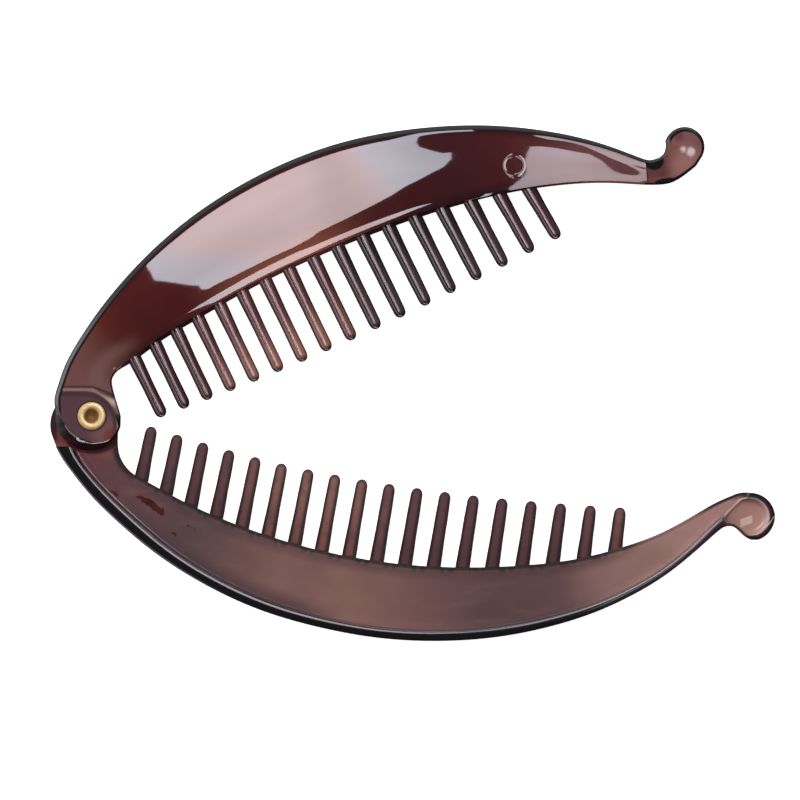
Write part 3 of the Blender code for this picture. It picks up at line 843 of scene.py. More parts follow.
def glossy_brown_plastic(colours):
    """Clear brown plastic, polished: dark where it is deep and painted as shade at its rounded edges,
    amber where light comes through.
    """
    g = Graph(bpy.data.materials.new("glossy_brown_plastic"))
    place = g.place()
    x, y = g.plan(place)
    edge_out, edge_in, band, along = g.measures("edge_out", "edge_in", "band", "along")
    tooth_across, tooth_down, tooth_number = g.measures("tooth_across", "tooth_down", "tooth_number")
    to_edge = edge_out.smaller(edge_in)

    def spot(centre_x, centre_y, start, full):
        return g.spread(x, y, centre_x, centre_y).step(start, full)

    body = Paint(g, g.ramp(along, GLOSSY_SHADES))
    warm_place = along.window(0.25, 0.38, 0.43, 0.54)
    body.lay(colours.amber, edge_in.step(8.0, 1.5) * warm_place * 0.9)
    outer_red = edge_out.step(2.9, 1.0) * along.window(0.56, 0.64, 0.76, 0.84)
    body.lay("301b20", outer_red * 0.6)
    # Painted lighter near the inner edge by the lug's bend
    pale_patch = edge_in.line(3.2, 2.8) * along.window(0.07, 0.10, 0.14, 0.19)
    body.lay("83605c", pale_patch * 0.75)
    left_dark = edge_in.step(3.2, 1.2) * along.window(0.125, 0.16, 0.20, 0.27)
    right_dark = edge_in.step(3.0, 0.8) * along.window(0.52, 0.62, 0.72, 0.80)
    body.lay("301820", left_dark * 0.55 + right_dark * 0.75)
    ledge = edge_in.step(0.82, 0.66) * along.window(0.15, 0.19, 0.72, 0.80)
    body.lay(g.mix(warm_place, "2a151b", "6a3f42"), ledge * 0.85)
    tail_strip = edge_in.step(1.9, 1.2) * along.window(0.77, 0.84, 0.93, 0.965)
    body.lay("865850", tail_strip * 0.85)
    # Painted shade: a dark line along the crease where the face meets the rounded outer edge
    crease_shade = (edge_out / band).step(1.9, 1.2) * along.window(0.16, 0.24, 0.86, 0.90)
    body.lay("33181e", crease_shade * 0.75)
    cloud = g.noise(place, 55.0, 3.0)
    body.lay("38161a", cloud.step(0.40, 0.75) * 0.22)
    flecks = g.noise(place, 420.0, 2.0)
    hook_part = along.step(0.925, 0.95)
    body.lay("a8694a", hook_part * flecks.step(0.45, 0.70) * 0.28)
    body.lay("62343c", hook_part * flecks.step(0.42, 0.25) * 0.3)
    for spot_x, spot_y, start, full, strength, code in HOOK_SPOTS:
        body.lay(code, spot(spot_x, spot_y, start, full) * strength)

    # What shows through the half-thick lug: the step above it and the other arm's round lug below it
    lug_x, lug_y, lug_radius = LOWER_ENDS[0][:3]
    step_y, bend_x, slope = STEP_SHOWS
    from_step = y - step_y + (x - bend_x).larger(0.0) * slope
    below_step = from_step.step(0.10, -0.25)
    from_lug = g.spread((x - lug_x).larger(0.0), y, 0.0, lug_y)
    lug_depth = lug_radius - 0.15 - from_lug
    inside = g.mix(spot(3.0, -3.0, 5.0, 1.0), "5e434a", "80595a")
    under = Paint(g, g.mix(lug_depth.step(-0.25, 0.15), "a67b78", inside))
    under.lay("43363b", lug_depth.line(0.55, 0.80) * 0.85)
    # Painted highlight: a pale band of light just beyond the other lug's edge
    under.lay("dab5b0", lug_depth.line(-0.75, 1.05) * x.step(0.4, 2.2))
    under.lay("98706e", from_step.line(-0.55, 0.30) * x.step(1.5, 0.0) * 0.75)
    under.lay("7a2f30", spot(4.0, -4.3, 2.4, 0.8) * 0.75)
    body.lay(under.colour, below_step)
    step_line = from_step.line(0.0, 0.50) + from_step.line(-0.25, 1.1) * x.window(0.2, 2.2, 4.0, 5.4)
    body.lay("3c3336", step_line.smaller(1.0) * 0.9)
    body.lay("33201c", spot(0.0, 0.0, 3.3, 2.9) * 0.7)

    # Teeth: each flank painted in the shade the light gives it, the middle teeth painted warmer and
    # lighter as light comes through them, edges and tips painted dark
    late = tooth_number.step(0.42, 0.60)
    final = tooth_number.step(0.84, 1.0) * 0.6
    warm = tooth_number.window(0.10, 0.24, 0.42, 0.60)
    left = g.mix(late, "3b1a22", "2a1a20")
    left = g.mix(warm, left, g.mix(tooth_down.step(0.3, 0.8), "64363a", "7f5248"))
    right = g.mix(late, "472b31", g.mix(tooth_down.step(0.1, 0.6), "2e2629", "4b3d42"))
    right = g.mix(warm, right, g.mix(tooth_down.step(0.3, 0.85), "663e3f", "a46e62"))
    tooth = Paint(g, g.mix(tooth_across.step(-0.2, 0.1), left, right))
    tooth.lay("552b38", final)
    mottle = g.noise(place, 650.0, 2.0)
    tooth.lay(colours.tooth_dark, mottle.step(0.5, 0.75) * 0.3)
    tooth.lay("221015", tooth_across.step(-0.55, -0.85) * 0.9)
    tooth.lay("221619", tooth_across.step(0.62, 0.92) * 0.75)
    tooth.lay("181315", tooth_down.step(0.92, 0.985) * 0.92)
    on_tooth = edge_in.step(0.15, -0.25)
    body.lay(tooth.colour, on_tooth)

    # The rounded edge, painted dark: partly for its depth, partly as shade where it bends the light away
    hinge_side = along.step(0.24, 0.14) * y.step(-1.0, 2.0)
    edge_paint = ((edge_out - 0.25 * hinge_side) / band).step(1.15, 0.92)
    edge_paint = edge_paint.larger((to_edge / band).step(1.08, 0.94) * along.step(0.06, 0.04))
    ball_x, ball_y = UPPER_ENDS[1][:2]
    aslant = (y - x - (ball_y - ball_x)) / g.spread(x, y, ball_x, ball_y)
    wide = 0.80 + 0.22 * aslant
    in_hook = x.step(113.3, 113.6) * y.step(40.0, 42.0)
    round_paint = (to_edge - wide).step(0.12, -0.12) * spot(117.9, 54.9, 1.0, 2.2)
    neck = spot(115.4, 52.5, 2.25, 1.80).larger(edge_out.step(0.55, 0.30))
    under_hook = g.spread(x * 0.45, y, 53.4, 47.3).step(1.80, 1.40).larger(edge_in.step(0.45, 0.25))
    edge_paint = edge_paint * (1.0 - in_hook)
    hook_paint = (round_paint * x.step(117.2, 118.2)).larger(neck).larger(under_hook)
    edge_paint = edge_paint.larger(hook_paint * in_hook)
    maroon = to_edge.step(1.3, 0.3) * y.step(-3.0, -5.0) * x.step(8.0, 6.0)
    edge_colour = g.mix(maroon * 0.8, colours.deep_edge, "3a0f1a")
    body.lay(edge_colour, edge_paint * (1.0 - on_tooth))
    thin_line = edge_in.step(0.40, 0.15) * (1.0 - on_tooth) * along.step(0.86, 0.80)
    body.lay("1d1216", thin_line * (0.8 - 0.3 * warm_place))

    bump = g.bump(g.noise(place, 70.0, 1.0), 1.0, 0.00003)
    rough = 0.02 + 0.02 * cloud + 0.12 * on_tooth
    inputs = {"Base Color": body.colour, "Roughness": rough, "IOR": 1.52, "Normal": bump}
    return g.surface(PRINCIPLED, inputs)


def matt_brown_plastic(colours):
    """The same plastic as it leaves an unpolished mould: satin, with flow marks."""
    g = Graph(bpy.data.materials.new("matt_brown_plastic"))
    place = g.place()
    x, y = g.plan(place)
    edge_out, edge_in, along, pocket = g.measures("edge_out", "edge_in", "along", "pocket")
    tooth_across, tooth_down, tooth_number = g.measures("tooth_across", "tooth_down", "tooth_number")
    level, rim = g.measures("level", "rim")

    body = Paint(g, g.ramp(along, MATT_SHADES))
    cloud = g.noise(place, 60.0, 3.0)
    body.lay("523c40", cloud.step(0.40, 0.75) * 0.3)
    drift = g.noise(place, 300.0, 3.0, stretch=(0.4, 1.6, 1.0))
    body.lay("94706a", drift.step(0.50, 0.72) * 0.16)
    near_teeth = edge_in.step(3.4, 1.0) * along.window(0.10, 0.20, 0.76, 0.84)
    body.lay("503c40", near_teeth * 0.65)
    # Painted shade on the back beside the rim
    rim_shade = edge_out.step(6.0, 2.6) * along.window(0.12, 0.20, 0.38, 0.47)
    rim_shade = rim_shade + edge_out.step(4.4, 2.0) * along.line(0.70, 0.10) * 0.6
    body.lay("4c393f", rim_shade * 0.75)

    smudge = g.noise(place, 800.0, 3.0)
    for spot_x, spot_y, size in SMUDGES:
        down_arm = (x - spot_x) * 0.80 - (y - spot_y) * 0.60
        over_arm = (x - spot_x) * 1.50 + (y - spot_y) * 2.00
        from_spot = (down_arm ** 2.0 + over_arm ** 2.0) ** 0.5 + 5.0 * smudge
        body.lay("43120f", from_spot.step(size + 2.6, size + 2.0) * 0.9)

    # Teeth: the middle ones painted warmer and lighter as light comes through them, the last ones warmer
    # too, edges and tips darker
    warm = tooth_number.window(0.14, 0.34, 0.42, 0.60)
    warm = warm + tooth_number.step(0.90, 1.0) * 0.6
    tooth = Paint(g, g.mix(tooth_down.step(0.1, 0.7), "553b3f", "614347"))
    tooth.lay(g.mix(tooth_down.step(0.1, 0.8), "7a524b", "8d645c"), warm)
    patch = g.noise(place, 420.0, 2.0)
    tooth.lay("54363a", patch.step(0.48, 0.70) * 0.35)
    tooth.lay("2b1f22", tooth_across.step(-0.15, -0.80) * 0.9)
    tooth.lay("4a2b30", tooth_across.step(0.15, 0.75) * 0.55)
    tooth.lay("2b1a1d", tooth_across.step(0.50, 0.82) * 0.92)
    tooth.lay("322b2e", tooth_down.step(0.92, 0.985) * 0.8)
    on_tooth = edge_in.step(0.05, -0.15)
    body.lay(tooth.colour, on_tooth)

    edge_line = edge_in.step(0.85, 0.42) * (1.0 - 0.45 * along.step(0.78, 0.86)) * along.step(0.96, 0.945)
    root_line = tooth_down.line(-0.01, 0.035) * on_tooth
    hinge_dark = edge_in.step(1.5, 0.4) * along.step(0.16, 0.08)
    between = edge_in.step(1.8, 0.3) * abs(tooth_across).step(0.9, 1.6) * along.step(0.84, 0.78)
    dark = (edge_line * 0.8 + hinge_dark * 0.8 + between * 0.55) * (1.0 - on_tooth) + root_line * 0.5
    body.lay("231c1f", dark.smaller(0.93))

    # The seat of the other arm's lug: painted shadow between the two, with a painted red glint at its rim
    # where light leaks out
    from_rivet = g.spread(x, y, 0.0, 0.0)
    low_side = y.step(-4.0, -6.0)
    seat = from_rivet.step(LOWER_STEP_ARC[0] + 0.05, LOWER_STEP_ARC[0] - 0.15) * low_side
    body.lay("2e1218", seat * 0.85)
    glint = from_rivet.line(LOWER_STEP_ARC[0] + 0.15, 0.28) * low_side
    body.lay("7a2f38", glint * 0.6)
    bulge = edge_out.step(1.0, 0.5) * y.step(-5.5, -4.5)
    body.lay("6e2c2c", y.step(-5.8, -5.2) * x.step(2.0, -1.0) * 0.6)
    body.lay("2b2327", bulge * 0.85)

    # The rim, painted dark for its depth and as shade, and the disc at the tail with its pocket, painted
    # lighter inside and with painted highlights
    in_disc = along.step(0.945, 0.955)
    to_edge = edge_out.smaller(edge_in)
    past_rim = edge_out - rim
    on_rim = past_rim.step(-0.05, -0.30) * level.step(-1.2, -2.0) * (1.0 - in_disc)
    # Painted shade at the rim's foot, where it meets the plate
    foot_shade = past_rim.line(0.15, 0.45) * level.step(-0.3, -0.6) * (1.0 - in_disc)
    body.lay("3c2f34", foot_shade * 0.6)
    # Painted light inside the pocket, lifting the shade of its hollow
    body.lay("b98b80", pocket.step(0.2, 1.2) * 0.55)
    disc_rim = to_edge.step(1.15, 0.90) * pocket.step(-0.05, -0.30) * in_disc
    rim_colour = g.mix(along.step(0.70, 0.84), colours.deep_edge, "3b3036")
    body.lay(rim_colour, on_rim.larger(disc_rim))
    # Painted reflection: a pale line on the rim's rounded outer edge near the hinge
    rim_reflection = edge_out.step(0.55, 0.25) * along.step(0.34, 0.20) * y.step(-6.0, -8.0)
    body.lay("85868a", rim_reflection * 0.55)
    outline = to_edge.step(0.75, 0.42) * along.step(0.90, 0.93)
    body.lay("241c20", outline * 0.9)
    red_patch = g.spread(x, y, 130.9, -22.3).step(1.7, 0.7) * pocket.step(0.1, -0.2)
    body.lay("6e2620", red_patch * 0.75)
    # Painted highlights: a pale line along the upper edge of the pocket's mouth and a pale patch on its
    # floor
    upper_side = (y + 21.2 + 0.5 * (x - 129.0)).step(-0.2, 0.6)
    mouth_highlight = pocket.line(0.02, 0.30) * along.step(0.90, 0.93) * upper_side
    body.lay("d0b2b2", mouth_highlight * 0.85)
    patch_x = x - 134.4
    floor_highlight = abs(patch_x).step(1.35, 1.1) * abs(y + 21.6 - 0.35 * patch_x).step(0.95, 0.7)
    body.lay("dcc2b4", floor_highlight * 0.85)

    grain = g.noise(place, 5200.0, 2.0)
    flow = g.noise(place, 160.0, 2.0, stretch=(0.5, 3.0, 1.0))
    bump = g.bump(grain * 0.6 + flow * 2.0, 0.35, 0.000012)
    on_disc = in_disc * (level.step(-2.2, -2.4) + pocket.step(-0.3, 0.0))
    polish = past_rim.step(0.35, 0.05).larger(on_disc)
    inputs = {
        "Base Color": body.colour,
        "Roughness": (0.46 + 0.12 * cloud) * (1.0 - polish) + 0.12 * polish,
        "IOR": 1.50,
        "Specular IOR Level": 0.06,
        "Coat Weight": polish * 0.75,
        "Coat Roughness": 0.10,
        "Normal": bump,
    }
    return g.surface(PRINCIPLED, inputs)


def polished_brass(colours):
    """Brass with a satin face on the rolled ring, darker and browner the deeper down the hole."""
    g = Graph(bpy.data.materials.new("polished_brass"))
    place = g.place()
    depth = g.split(place)[2] * (1.0 / MM)
    stain = g.noise(place, 1500.0, 4.0, 0.6)
    body = Paint(g, g.mix(stain.step(0.45, 0.75) * 0.25, colours.brass, "b08c4c"))
    for code, start, full in (("b08c50", 2.25, 1.5), ("936f3c", 1.4, 0.5), ("593d1c", 0.35, 0.0)):
        body.lay(code, depth.step(start, full))
    bump = g.bump(g.noise(place, 2600.0, 3.0, stretch=(1.0, 1.0, 0.3)), 0.3, 0.00001)
    rough = 0.38 + 0.2 * stain
    inputs = {"Base Color": body.colour, "Metallic": 0.35, "Roughness": rough, "Normal": bump}
    return g.surface(PRINCIPLED, inputs)


def make_arm(name, arm, crown, cutters, sizes):
    """One arm: the lofted plate with its teeth joined on and its step, bore, pocket and mark cut."""
    rings, lines = arm_rings(arm, crown, sizes)
    form = bmesh.new()
    add_loft(form, rings, arm["side"])
    obj = mesh_object(name, form)
    axes = tooth_axes(arm["teeth"], arm["tooth_count"])
    form = bmesh.new()
    early, late = (np.array(widths) for widths in arm["tooth_widths"])
    for i, axis in enumerate(axes):
        share = smoothstep(i / (len(axes) - 1.0), *WIDTH_CHANGE)
        add_loft(form, tooth_rings(axis, early + (late - early) * share), arm["side"])
    helpers = [(mesh_object(name + "_teeth_form", form), "UNION")]
    for cutter in cutters(obj):
        helpers.append((cutter, "DIFFERENCE"))
    combine(obj, helpers)
    add_measures(obj, lines, axes, arm)
    smooth(obj, ARM_SMOOTH)
    return obj


def ring_mark_cutter(arm):
    """A ring-shaped groove that keeps its depth on the crowned face."""
    x, y, radius = RING_MARK
    width, edge_depth, hollow = RING_GROOVE
    tree = BVHTree.FromObject(arm, bpy.context.evaluated_depsgraph_get())
    lifts = []
    for px, py in circle_points(x, y, radius):
        spot = tree.ray_cast(Vector((px * MM, py * MM, 1.0)), Vector((0.0, 0.0, -1.0)))[0]
        lifts.append(spot.z / MM)
    groove = []
    for i in range(13):
        share = i / 12.0
        sink = -edge_depth - hollow * (1.0 - (2.0 * share - 1.0) ** 2)
        groove.append((radius + width * (share - 0.5), sink))
    outside = radius + 0.5 * width + RING_MARGIN
    inside = radius - 0.5 * width - RING_MARGIN
    groove += [(outside, RING_MARGIN), (outside, 1.0), (inside, 1.0), (inside, RING_MARGIN)]
    return lathe("upper_ring_cut", groove, ROUND_SIDES, x, y, lifts)


def lug_cutters(name, outline, low, high):
    """Cutters for a lug's half-thick step, from its outline, and for its bore."""
    bore = circle_points(0.0, 0.0, BORE_RADIUS)
    return [
        stacked_cutter(name + "_step_cut", [(low, outline), (high, outline)]),
        stacked_cutter(name + "_bore_cut", [(-4.0, bore), (4.0, bore)]),
    ]


def upper_cutters(arm):
    pocket = pocket_cutter("upper_pocket_cut", UPPER_POCKET, *UPPER_POCKET_CUT)
    return lug_cutters("upper", UPPER_STEP, -6.0, LUG_BACK) + [pocket, ring_mark_cutter(arm)]


def lower_cutters(_arm):
    radius, start, stop = LOWER_STEP_ARC
    outline = arc(0.0, 0.0, radius, radius, start, stop, 61) + list(LOWER_STEP_REST)
    pocket = pocket_cutter("lower_pocket_cut", LOWER_POCKET, *LOWER_POCKET_CUT)
    return lug_cutters("lower", outline, -LUG_BACK, 6.0) + [pocket]


def make_rivet():
    """A semi-tubular rivet: its end rolled over on top into a soft ring, a closed head below.

    Radii and heights are in millimetres from the plane where the lugs meet."""
    flange = 2.86
    seat = 2.00
    top = 2.44
    shank = 1.95
    hollow = [(0.0, 0.0), (0.35, 0.12), (0.80, 0.45), (1.12, 0.90), (1.32, 1.50), (1.46, 2.00)]
    hole = hollow[-1][0]
    roll_foot = seat + 0.10
    roll = arc(0.5 * (hole + flange), roll_foot, 0.5 * (flange - hole), top - roll_foot, 165.0, 2.0, 13)
    shaft = [(flange - 0.10, seat), (shank, seat), (shank, -seat), (flange - 0.08, -seat)]
    head = arc(flange - 0.9, -seat - 0.05, 0.9, -0.43, 0.0, 90.0, 8)
    return lathe("hinge_rivet_turned", hollow + roll + shaft + head + [(0.0, -seat - 0.48)], 96)


def number_property(name, description, value, low=0.0, high=1000.0):
    return FloatProperty(name=name, description=description, default=value, min=low, max=high)


def size_property(name, description, metres):
    return FloatProperty(
        name=name, description=description, default=metres, min=0.0, unit="LENGTH", precision=5
    )


def colour_property(name, description, code):
    return FloatVectorProperty(
        name=name, description=description, default=linear(code), size=3, min=0.0, max=1.0, subtype="COLOR"
    )


class ClipSizes(bpy.types.PropertyGroup):
    upper_crown: number_property("Upper Crown", "Rise of the upper arm's face per width", 0.036, 0.0, 0.08)
    lower_crown: number_property("Lower Crown", "Rise of the lower arm's face per width", 0.046, 0.0, 0.08)
    outer_band: size_property("Outer Band", "Width of the rounded outer edge", 0.00112)
    tail_band: size_property("Tail Band", "The same at the tail", 0.00070)
    hook_band: size_property("Hook Band", "The same round the hook", 0.00060)
    rim_scale: number_property("Rim Scale", "Scales the width of the rim behind the plate", 1.0, 0.5, 1.5)
    rim_fillet: size_property("Rim Fillet", "Hollow between rim and plate", 0.00045)


class ClipColours(bpy.types.PropertyGroup):
    amber: colour_property("Amber", "Where light comes through the polished arm", "9a5b48")
    # Deep Edge is painted dark partly for the plastic's depth and partly as shade where rounded edges bend
    # the light away
    deep_edge: colour_property("Deep Edge", "The rounded outer edge, seen through its depth", "1b181b")
    tooth_dark: colour_property("Dark Tooth", "Teeth of the polished arm", "4a222c")
    brass: colour_property("Brass", "The rivet", "cbb07d")
    table: colour_property("Table", "The floor under the clip", "f2f2f2")


class StudioSettings(bpy.types.PropertyGroup):
    lens: number_property("Lens", "Focal length of the camera in millimetres", 250.0, 50.0)
    key: number_property("Key", "Power of the large soft light in watts", 9.4)
    panels: number_property("Panels", "Brightness of the panels that the gloss shows", 12.6)


def finish_piece(piece, node, body, material):
    piece.data.materials.clear()
    piece.data.materials.append(material)
    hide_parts(node)
    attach(piece, body)


class CLIP_OT_upper_arm(bpy.types.Operator):
    """Build the polished upper arm with its 17 teeth"""

    bl_idname = "clip.upper_arm"
    bl_label = "Upper Arm"

    def execute(self, context):
        sizes = context.scene.clip_sizes
        arm = make_arm("upper_comb_arm", UPPER_ARM, sizes.upper_crown, upper_cutters, sizes)
        material = glossy_brown_plastic(context.scene.clip_colours)
        finish_piece(arm, "upper_arm", "upper_half", material)
        return {"FINISHED"}


class CLIP_OT_lower_arm(bpy.types.Operator):
    """Build the lower arm, which lies with its satin back up, with its 18 teeth"""

    bl_idname = "clip.lower_arm"
    bl_label = "Lower Arm"

    def execute(self, context):
        sizes = context.scene.clip_sizes
        arm = make_arm("lower_comb_arm", LOWER_ARM, sizes.lower_crown, lower_cutters, sizes)
        material = matt_brown_plastic(context.scene.clip_colours)
        finish_piece(arm, "lower_arm", "lower_half", material)
        return {"FINISHED"}


class CLIP_OT_rivet(bpy.types.Operator):
    """Build the hollow brass rivet"""

    bl_idname = "clip.rivet"
    bl_label = "Rivet"

    def execute(self, context):
        rivet = make_rivet()
        smooth(rivet, RIVET_SMOOTH)
        material = polished_brass(context.scene.clip_colours)
        finish_piece(rivet, "hinge_rivet", "lower_half", material)
        return {"FINISHED"}


# Outlines of the glowing panels in millimetres, at their own height above the table
PANEL_HEIGHT = 150.0
WIDE_PANEL = (
    (-112.0, 78.0), (-95.0, 60.5), (-85.5, 50.5), (-73.0, 36.0), (-61.0, 25.0), (-52.5, 16.5),
    (-45.5, 8.8), (-40.0, 2.8), (-33.6, -3.8), (-29.5, -10.4), (-25.7, -14.4), (-22.0, -13.4),
    (-19.5, -14.2), (-15.9, -12.8), (-11.0, -11.0), (-7.8, -9.8), (-5.8, -6.5), (-5.3, -1.9),
    (-3.5, -0.4), (-1.0, 1.5), (1.4, 5.2), (3.6, 9.4), (5.4, 15.7), (6.6, 24.6), (8.2, 32.0),
    (9.9, 39.8), (11.0, 44.8), (11.4, 57.0), (10.3, 67.5), (8.2, 67.8), (5.4, 72.8), (2.5, 78.2),
    (-0.5, 83.6), (-2.6, 92.0), (-3.0, 101.0), (-1.0, 115.0), (3.2, 125.0), (14.0, 128.0),
    (14.0, 165.0), (-10.0, 165.0), (-14.0, 110.0), (-38.0, 101.0), (-58.0, 94.0), (-75.0, 86.0),
    (-92.0, 80.0), (-104.0, 80.0),
)
STRIP_PANEL = (
    (33.0, -12.0), (30.7, -1.0), (31.6, 4.0), (31.8, 14.0), (31.2, 26.0), (30.1, 36.0), (29.3, 48.0),
    (29.6, 60.0), (30.8, 73.5), (34.5, 75.0), (38.0, 73.3), (42.0, 69.9), (46.7, 67.3), (47.6, 53.0),
    (47.1, 42.0), (46.6, 26.0), (47.2, 16.5), (49.0, 14.0), (51.3, 24.0), (54.0, 20.0), (53.0, -8.0),
    (46.5, -22.0), (45.5, -58.0), (38.5, -34.0),
)
TAIL_PANEL = (
    (51.5, 24.5), (52.4, 31.5), (54.4, 50.0), (55.0, 59.3), (53.3, 65.4), (52.0, 74.0), (50.4, 82.0),
    (48.5, 88.4), (45.0, 91.6), (41.0, 92.4), (37.4, 92.0), (34.0, 96.2), (35.0, 109.0), (41.0, 120.0),
    (47.0, 114.0), (70.0, 116.0), (69.0, 92.0), (64.0, 72.0), (59.0, 64.0), (57.0, 61.0), (56.6, 45.0),
    (55.9, 19.0), (53.2, 20.2),
)
# Small lamps that show as spots on the upper hook: x, y, radius
SPOT_LAMPS = ((67.14, 54.47, 0.62), (68.9, 53.93, 0.92))
ROSE = (1.0, 0.83, 0.86)
PALE = (0.83, 0.87, 0.97)
COOL = (1.0, 0.90, 0.97)
# Panels: name, outline, share of the panels' brightness, their colour and that of their near edge
PANELS = (
    ("wide_panel", WIDE_PANEL, 1.0, ROSE, PALE),
    ("strip_panel", STRIP_PANEL, 0.78, COOL, COOL),
    ("tail_panel", TAIL_PANEL, 0.82, COOL, COOL),
)

WHITE = (1.0, 1.0, 1.0)
# What the lamps point at, in metres
MIDDLE = (0.0, 0.0, 0.0)
HINGE = (-0.066, -0.007, 0.0)
# The large soft light: place, width and height
KEY_PLACE = (-0.25, 0.35, 1.0)
KEY_SIZE = (0.9, 0.9)
# Lamps that show only in the upper arm's gloss: name, place, target, width and height, watts, colour
GLOSS_LAMPS = (
    ("low_strip", (0.02, -0.747, 0.523), HINGE, (1.40, 0.22), 8.5, WHITE),
    ("left_strip", (-0.72, -0.37, 0.523), HINGE, (0.60, 0.16), 1.0, WHITE),
    ("side_strip", (-0.45, -0.20, 1.0), MIDDLE, (0.22, 0.09), 0.85, (1.0, 0.88, 0.92)),
    ("tip_lamp", (0.55, -0.32, 0.62), MIDDLE, (0.11, 0.11), 0.45, WHITE),
)

# The table's half width and how far it lies under the clip, in metres
TABLE_HALF = 3.0
TABLE_DROP = 0.00002

# The camera: its sensor, how much it sees across and where it looks, in millimetres
SENSOR = 36.0
VIEW_WIDTH = 164.4
VIEW_CENTRE = (-2.45, -3.51, 2.5)


def glow(name, strength, colour, edge_colour):
    """Light of a panel, a little uneven, as from cloth before a lamp."""
    g = Graph(bpy.data.materials.new(name))
    place = g.place()
    x, y = g.plan(place)
    slant = x + 0.35 * (y - 50.0)
    near_edge = (x + y + 37.0).step(24.0, 8.0)
    tone = g.mix(near_edge.larger(slant.step(-12.0, -2.0)), colour, edge_colour)
    dip = slant.line(-17.0, 12.0) * 0.14
    low = y.step(70.0, 0.0) * 0.10
    right = slant.step(-6.0, 14.0) * 0.18
    uneven = g.noise(place, 22.0, 2.0).step(0.2, 0.8) * 0.14
    far_end = x.step(36.0, 52.0) * 0.16
    tone = g.mix((dip + low + right + uneven + far_end) / 1.05, tone, (0.0, 0.0, 0.0))
    return g.surface("ShaderNodeEmission", {"Color": tone, "Strength": 1.05 * strength})


def flat_panel(name, outline, material):
    """A glowing panel that only the gloss shows: it lights nothing else and casts no shadow."""
    mesh = bpy.data.meshes.new(name)
    points = [(x * MM, y * MM, 0.0) for x, y in outline]
    mesh.from_pydata(points, [], [tuple(range(len(points)))])
    mesh.materials.append(material)
    panel = bpy.data.objects.new(name, mesh)
    panel.location = (0.0, 0.0, PANEL_HEIGHT * MM)
    bpy.context.scene.collection.objects.link(panel)
    panel.visible_camera = False
    panel.visible_shadow = False
    panel.visible_diffuse = False


def area_light(name, place, target, size, power, colour):
    light = bpy.data.lights.new(name, "AREA")
    light.shape = "RECTANGLE"
    light.size, light.size_y = size
    light.energy = power
    light.color = colour
    lamp = bpy.data.objects.new(name, light)
    lamp.location = place
    direction = Vector(target) - Vector(place)
    lamp.rotation_euler = direction.to_track_quat("-Z", "Y").to_euler()
    lamp.visible_camera = False
    bpy.context.scene.collection.objects.link(lamp)
    return lamp


def make_table(colour):
    """A white table that glows a little, so that it stays evenly pale."""
    form = bmesh.new()
    bmesh.ops.create_grid(form, x_segments=8, y_segments=8, size=TABLE_HALF)
    mesh = bpy.data.meshes.new("table_top")
    form.to_mesh(mesh)
    form.free()
    table = bpy.data.objects.new("table_top", mesh)
    table.location = (0.0, 0.0, -TABLE_DROP)
    bpy.context.scene.collection.objects.link(table)
    g = Graph(bpy.data.materials.new("white_table"))
    body = g.mix(g.noise(g.place(), 6.0, 2.0).step(0.3, 0.7) * 0.3, colour, (0.86, 0.87, 0.88))
    inputs = {"Base Color": body, "Roughness": 0.9, "Emission Color": body, "Emission Strength": 1.05}
    mesh.materials.append(g.surface(PRINCIPLED, inputs))
    table.visible_glossy = False


def make_walls():
    """A dark room with a pale side and one bright window, seen in the gloss."""
    world = bpy.data.worlds.new("studio_walls")
    bpy.context.scene.world = world
    g = Graph(world)
    x, y, z = g.split(g.node("ShaderNodeTexCoord", output="Generated"))
    pale_side = (0.8 * y - 0.6 * x).step(-0.15, 0.40) * z.step(0.75, 0.25)
    tone = g.mix(pale_side, (0.03, 0.03, 0.03), (0.82, 0.82, 0.84))
    window = x.step(-0.50, -0.75) * y.window(-0.18, -0.02, 0.45, 0.62) * z.window(-0.10, 0.10, 0.36, 0.52)
    tone = g.mix(window, tone, (3.4, 3.4, 3.5))
    background = g.node("ShaderNodeBackground", None, {"Color": tone, "Strength": 1.0})
    g.node("ShaderNodeOutputWorld", None, {"Surface": background})


def make_lights(studio):
    """The soft key light, and the lamps and panels that show in the gloss."""
    key = area_light("key_light", KEY_PLACE, MIDDLE, KEY_SIZE, studio.key, WHITE)
    key.visible_glossy = False
    group = bpy.data.collections.new("shows_on_upper_arm")
    group.objects.link(bpy.data.objects["upper_comb_arm"])
    for row in GLOSS_LAMPS:
        lamp = area_light(*row)
        lamp.visible_diffuse = False
        lamp.light_linking.receiver_collection = group
    for name, outline, share, colour, edge_colour in PANELS:
        flat_panel(name, outline, glow(name, share * studio.panels, colour, edge_colour))
    spots = glow("spot_lamps", 1.3 * studio.panels, COOL, COOL)
    for i, (x, y, radius) in enumerate(SPOT_LAMPS):
        flat_panel(f"spot_lamp_{i + 1}", circle_points(x, y, radius, 9), spots)


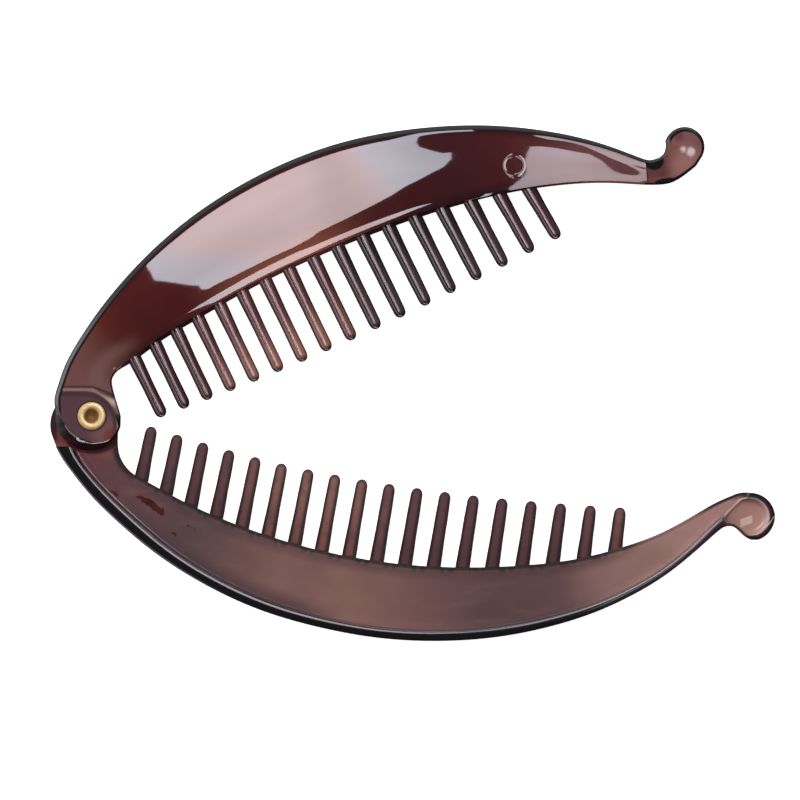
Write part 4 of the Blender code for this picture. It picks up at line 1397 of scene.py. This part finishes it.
def make_camera(lens):
    """A camera with a long lens, straight above the clip."""
    camera = bpy.data.cameras.new("camera")
    camera.lens = lens
    camera.sensor_width = SENSOR
    camera.clip_start = 0.05
    camera.clip_end = 20.0
    viewer = bpy.data.objects.new("camera", camera)
    x, y, z = (part * MM for part in VIEW_CENTRE)
    viewer.location = (x, y, z + lens * VIEW_WIDTH / SENSOR * MM)
    bpy.context.scene.collection.objects.link(viewer)
    bpy.context.scene.camera = viewer


class CLIP_OT_stage(bpy.types.Operator):
    """Set up the table, the studio light and the camera above the clip"""

    bl_idname = "clip.stage"
    bl_label = "Table, Light and Camera"

    def execute(self, context):
        make_table(context.scene.clip_colours.table)
        make_walls()
        make_lights(context.scene.clip_studio)
        make_camera(context.scene.clip_studio.lens)
        context.scene.view_settings.view_transform = "Standard"
        return {"FINISHED"}


class CLIP_PT_panel(bpy.types.Panel):
    bl_label = "Hair Clip"
    bl_idname = "CLIP_PT_panel"
    bl_space_type = "VIEW_3D"
    bl_region_type = "UI"
    bl_category = "Hair Clip"

    def draw(self, context):
        for group in (context.scene.clip_sizes, context.scene.clip_colours, context.scene.clip_studio):
            box = self.layout.box()
            for name in group.bl_rna.properties.keys():
                if name not in ("rna_type", "name"):
                    box.prop(group, name)
        for operator in OPERATORS:
            self.layout.operator(operator.bl_idname)


OPERATORS = (CLIP_OT_upper_arm, CLIP_OT_lower_arm, CLIP_OT_rivet, CLIP_OT_stage)
CLASSES = (ClipSizes, ClipColours, StudioSettings) + OPERATORS + (CLIP_PT_panel,)


def register():
    for item in CLASSES:
        bpy.utils.register_class(item)
    bpy.types.Scene.clip_sizes = PointerProperty(type=ClipSizes)
    bpy.types.Scene.clip_colours = PointerProperty(type=ClipColours)
    bpy.types.Scene.clip_studio = PointerProperty(type=StudioSettings)


def unregister():
    del bpy.types.Scene.clip_studio
    del bpy.types.Scene.clip_colours
    del bpy.types.Scene.clip_sizes
    for item in reversed(CLASSES):
        bpy.utils.unregister_class(item)


def main():
    register()
    bpy.ops.clip.upper_arm()
    bpy.ops.clip.lower_arm()
    bpy.ops.clip.rivet()
    bpy.ops.clip.stage()


if __name__ == "__main__":
    main()
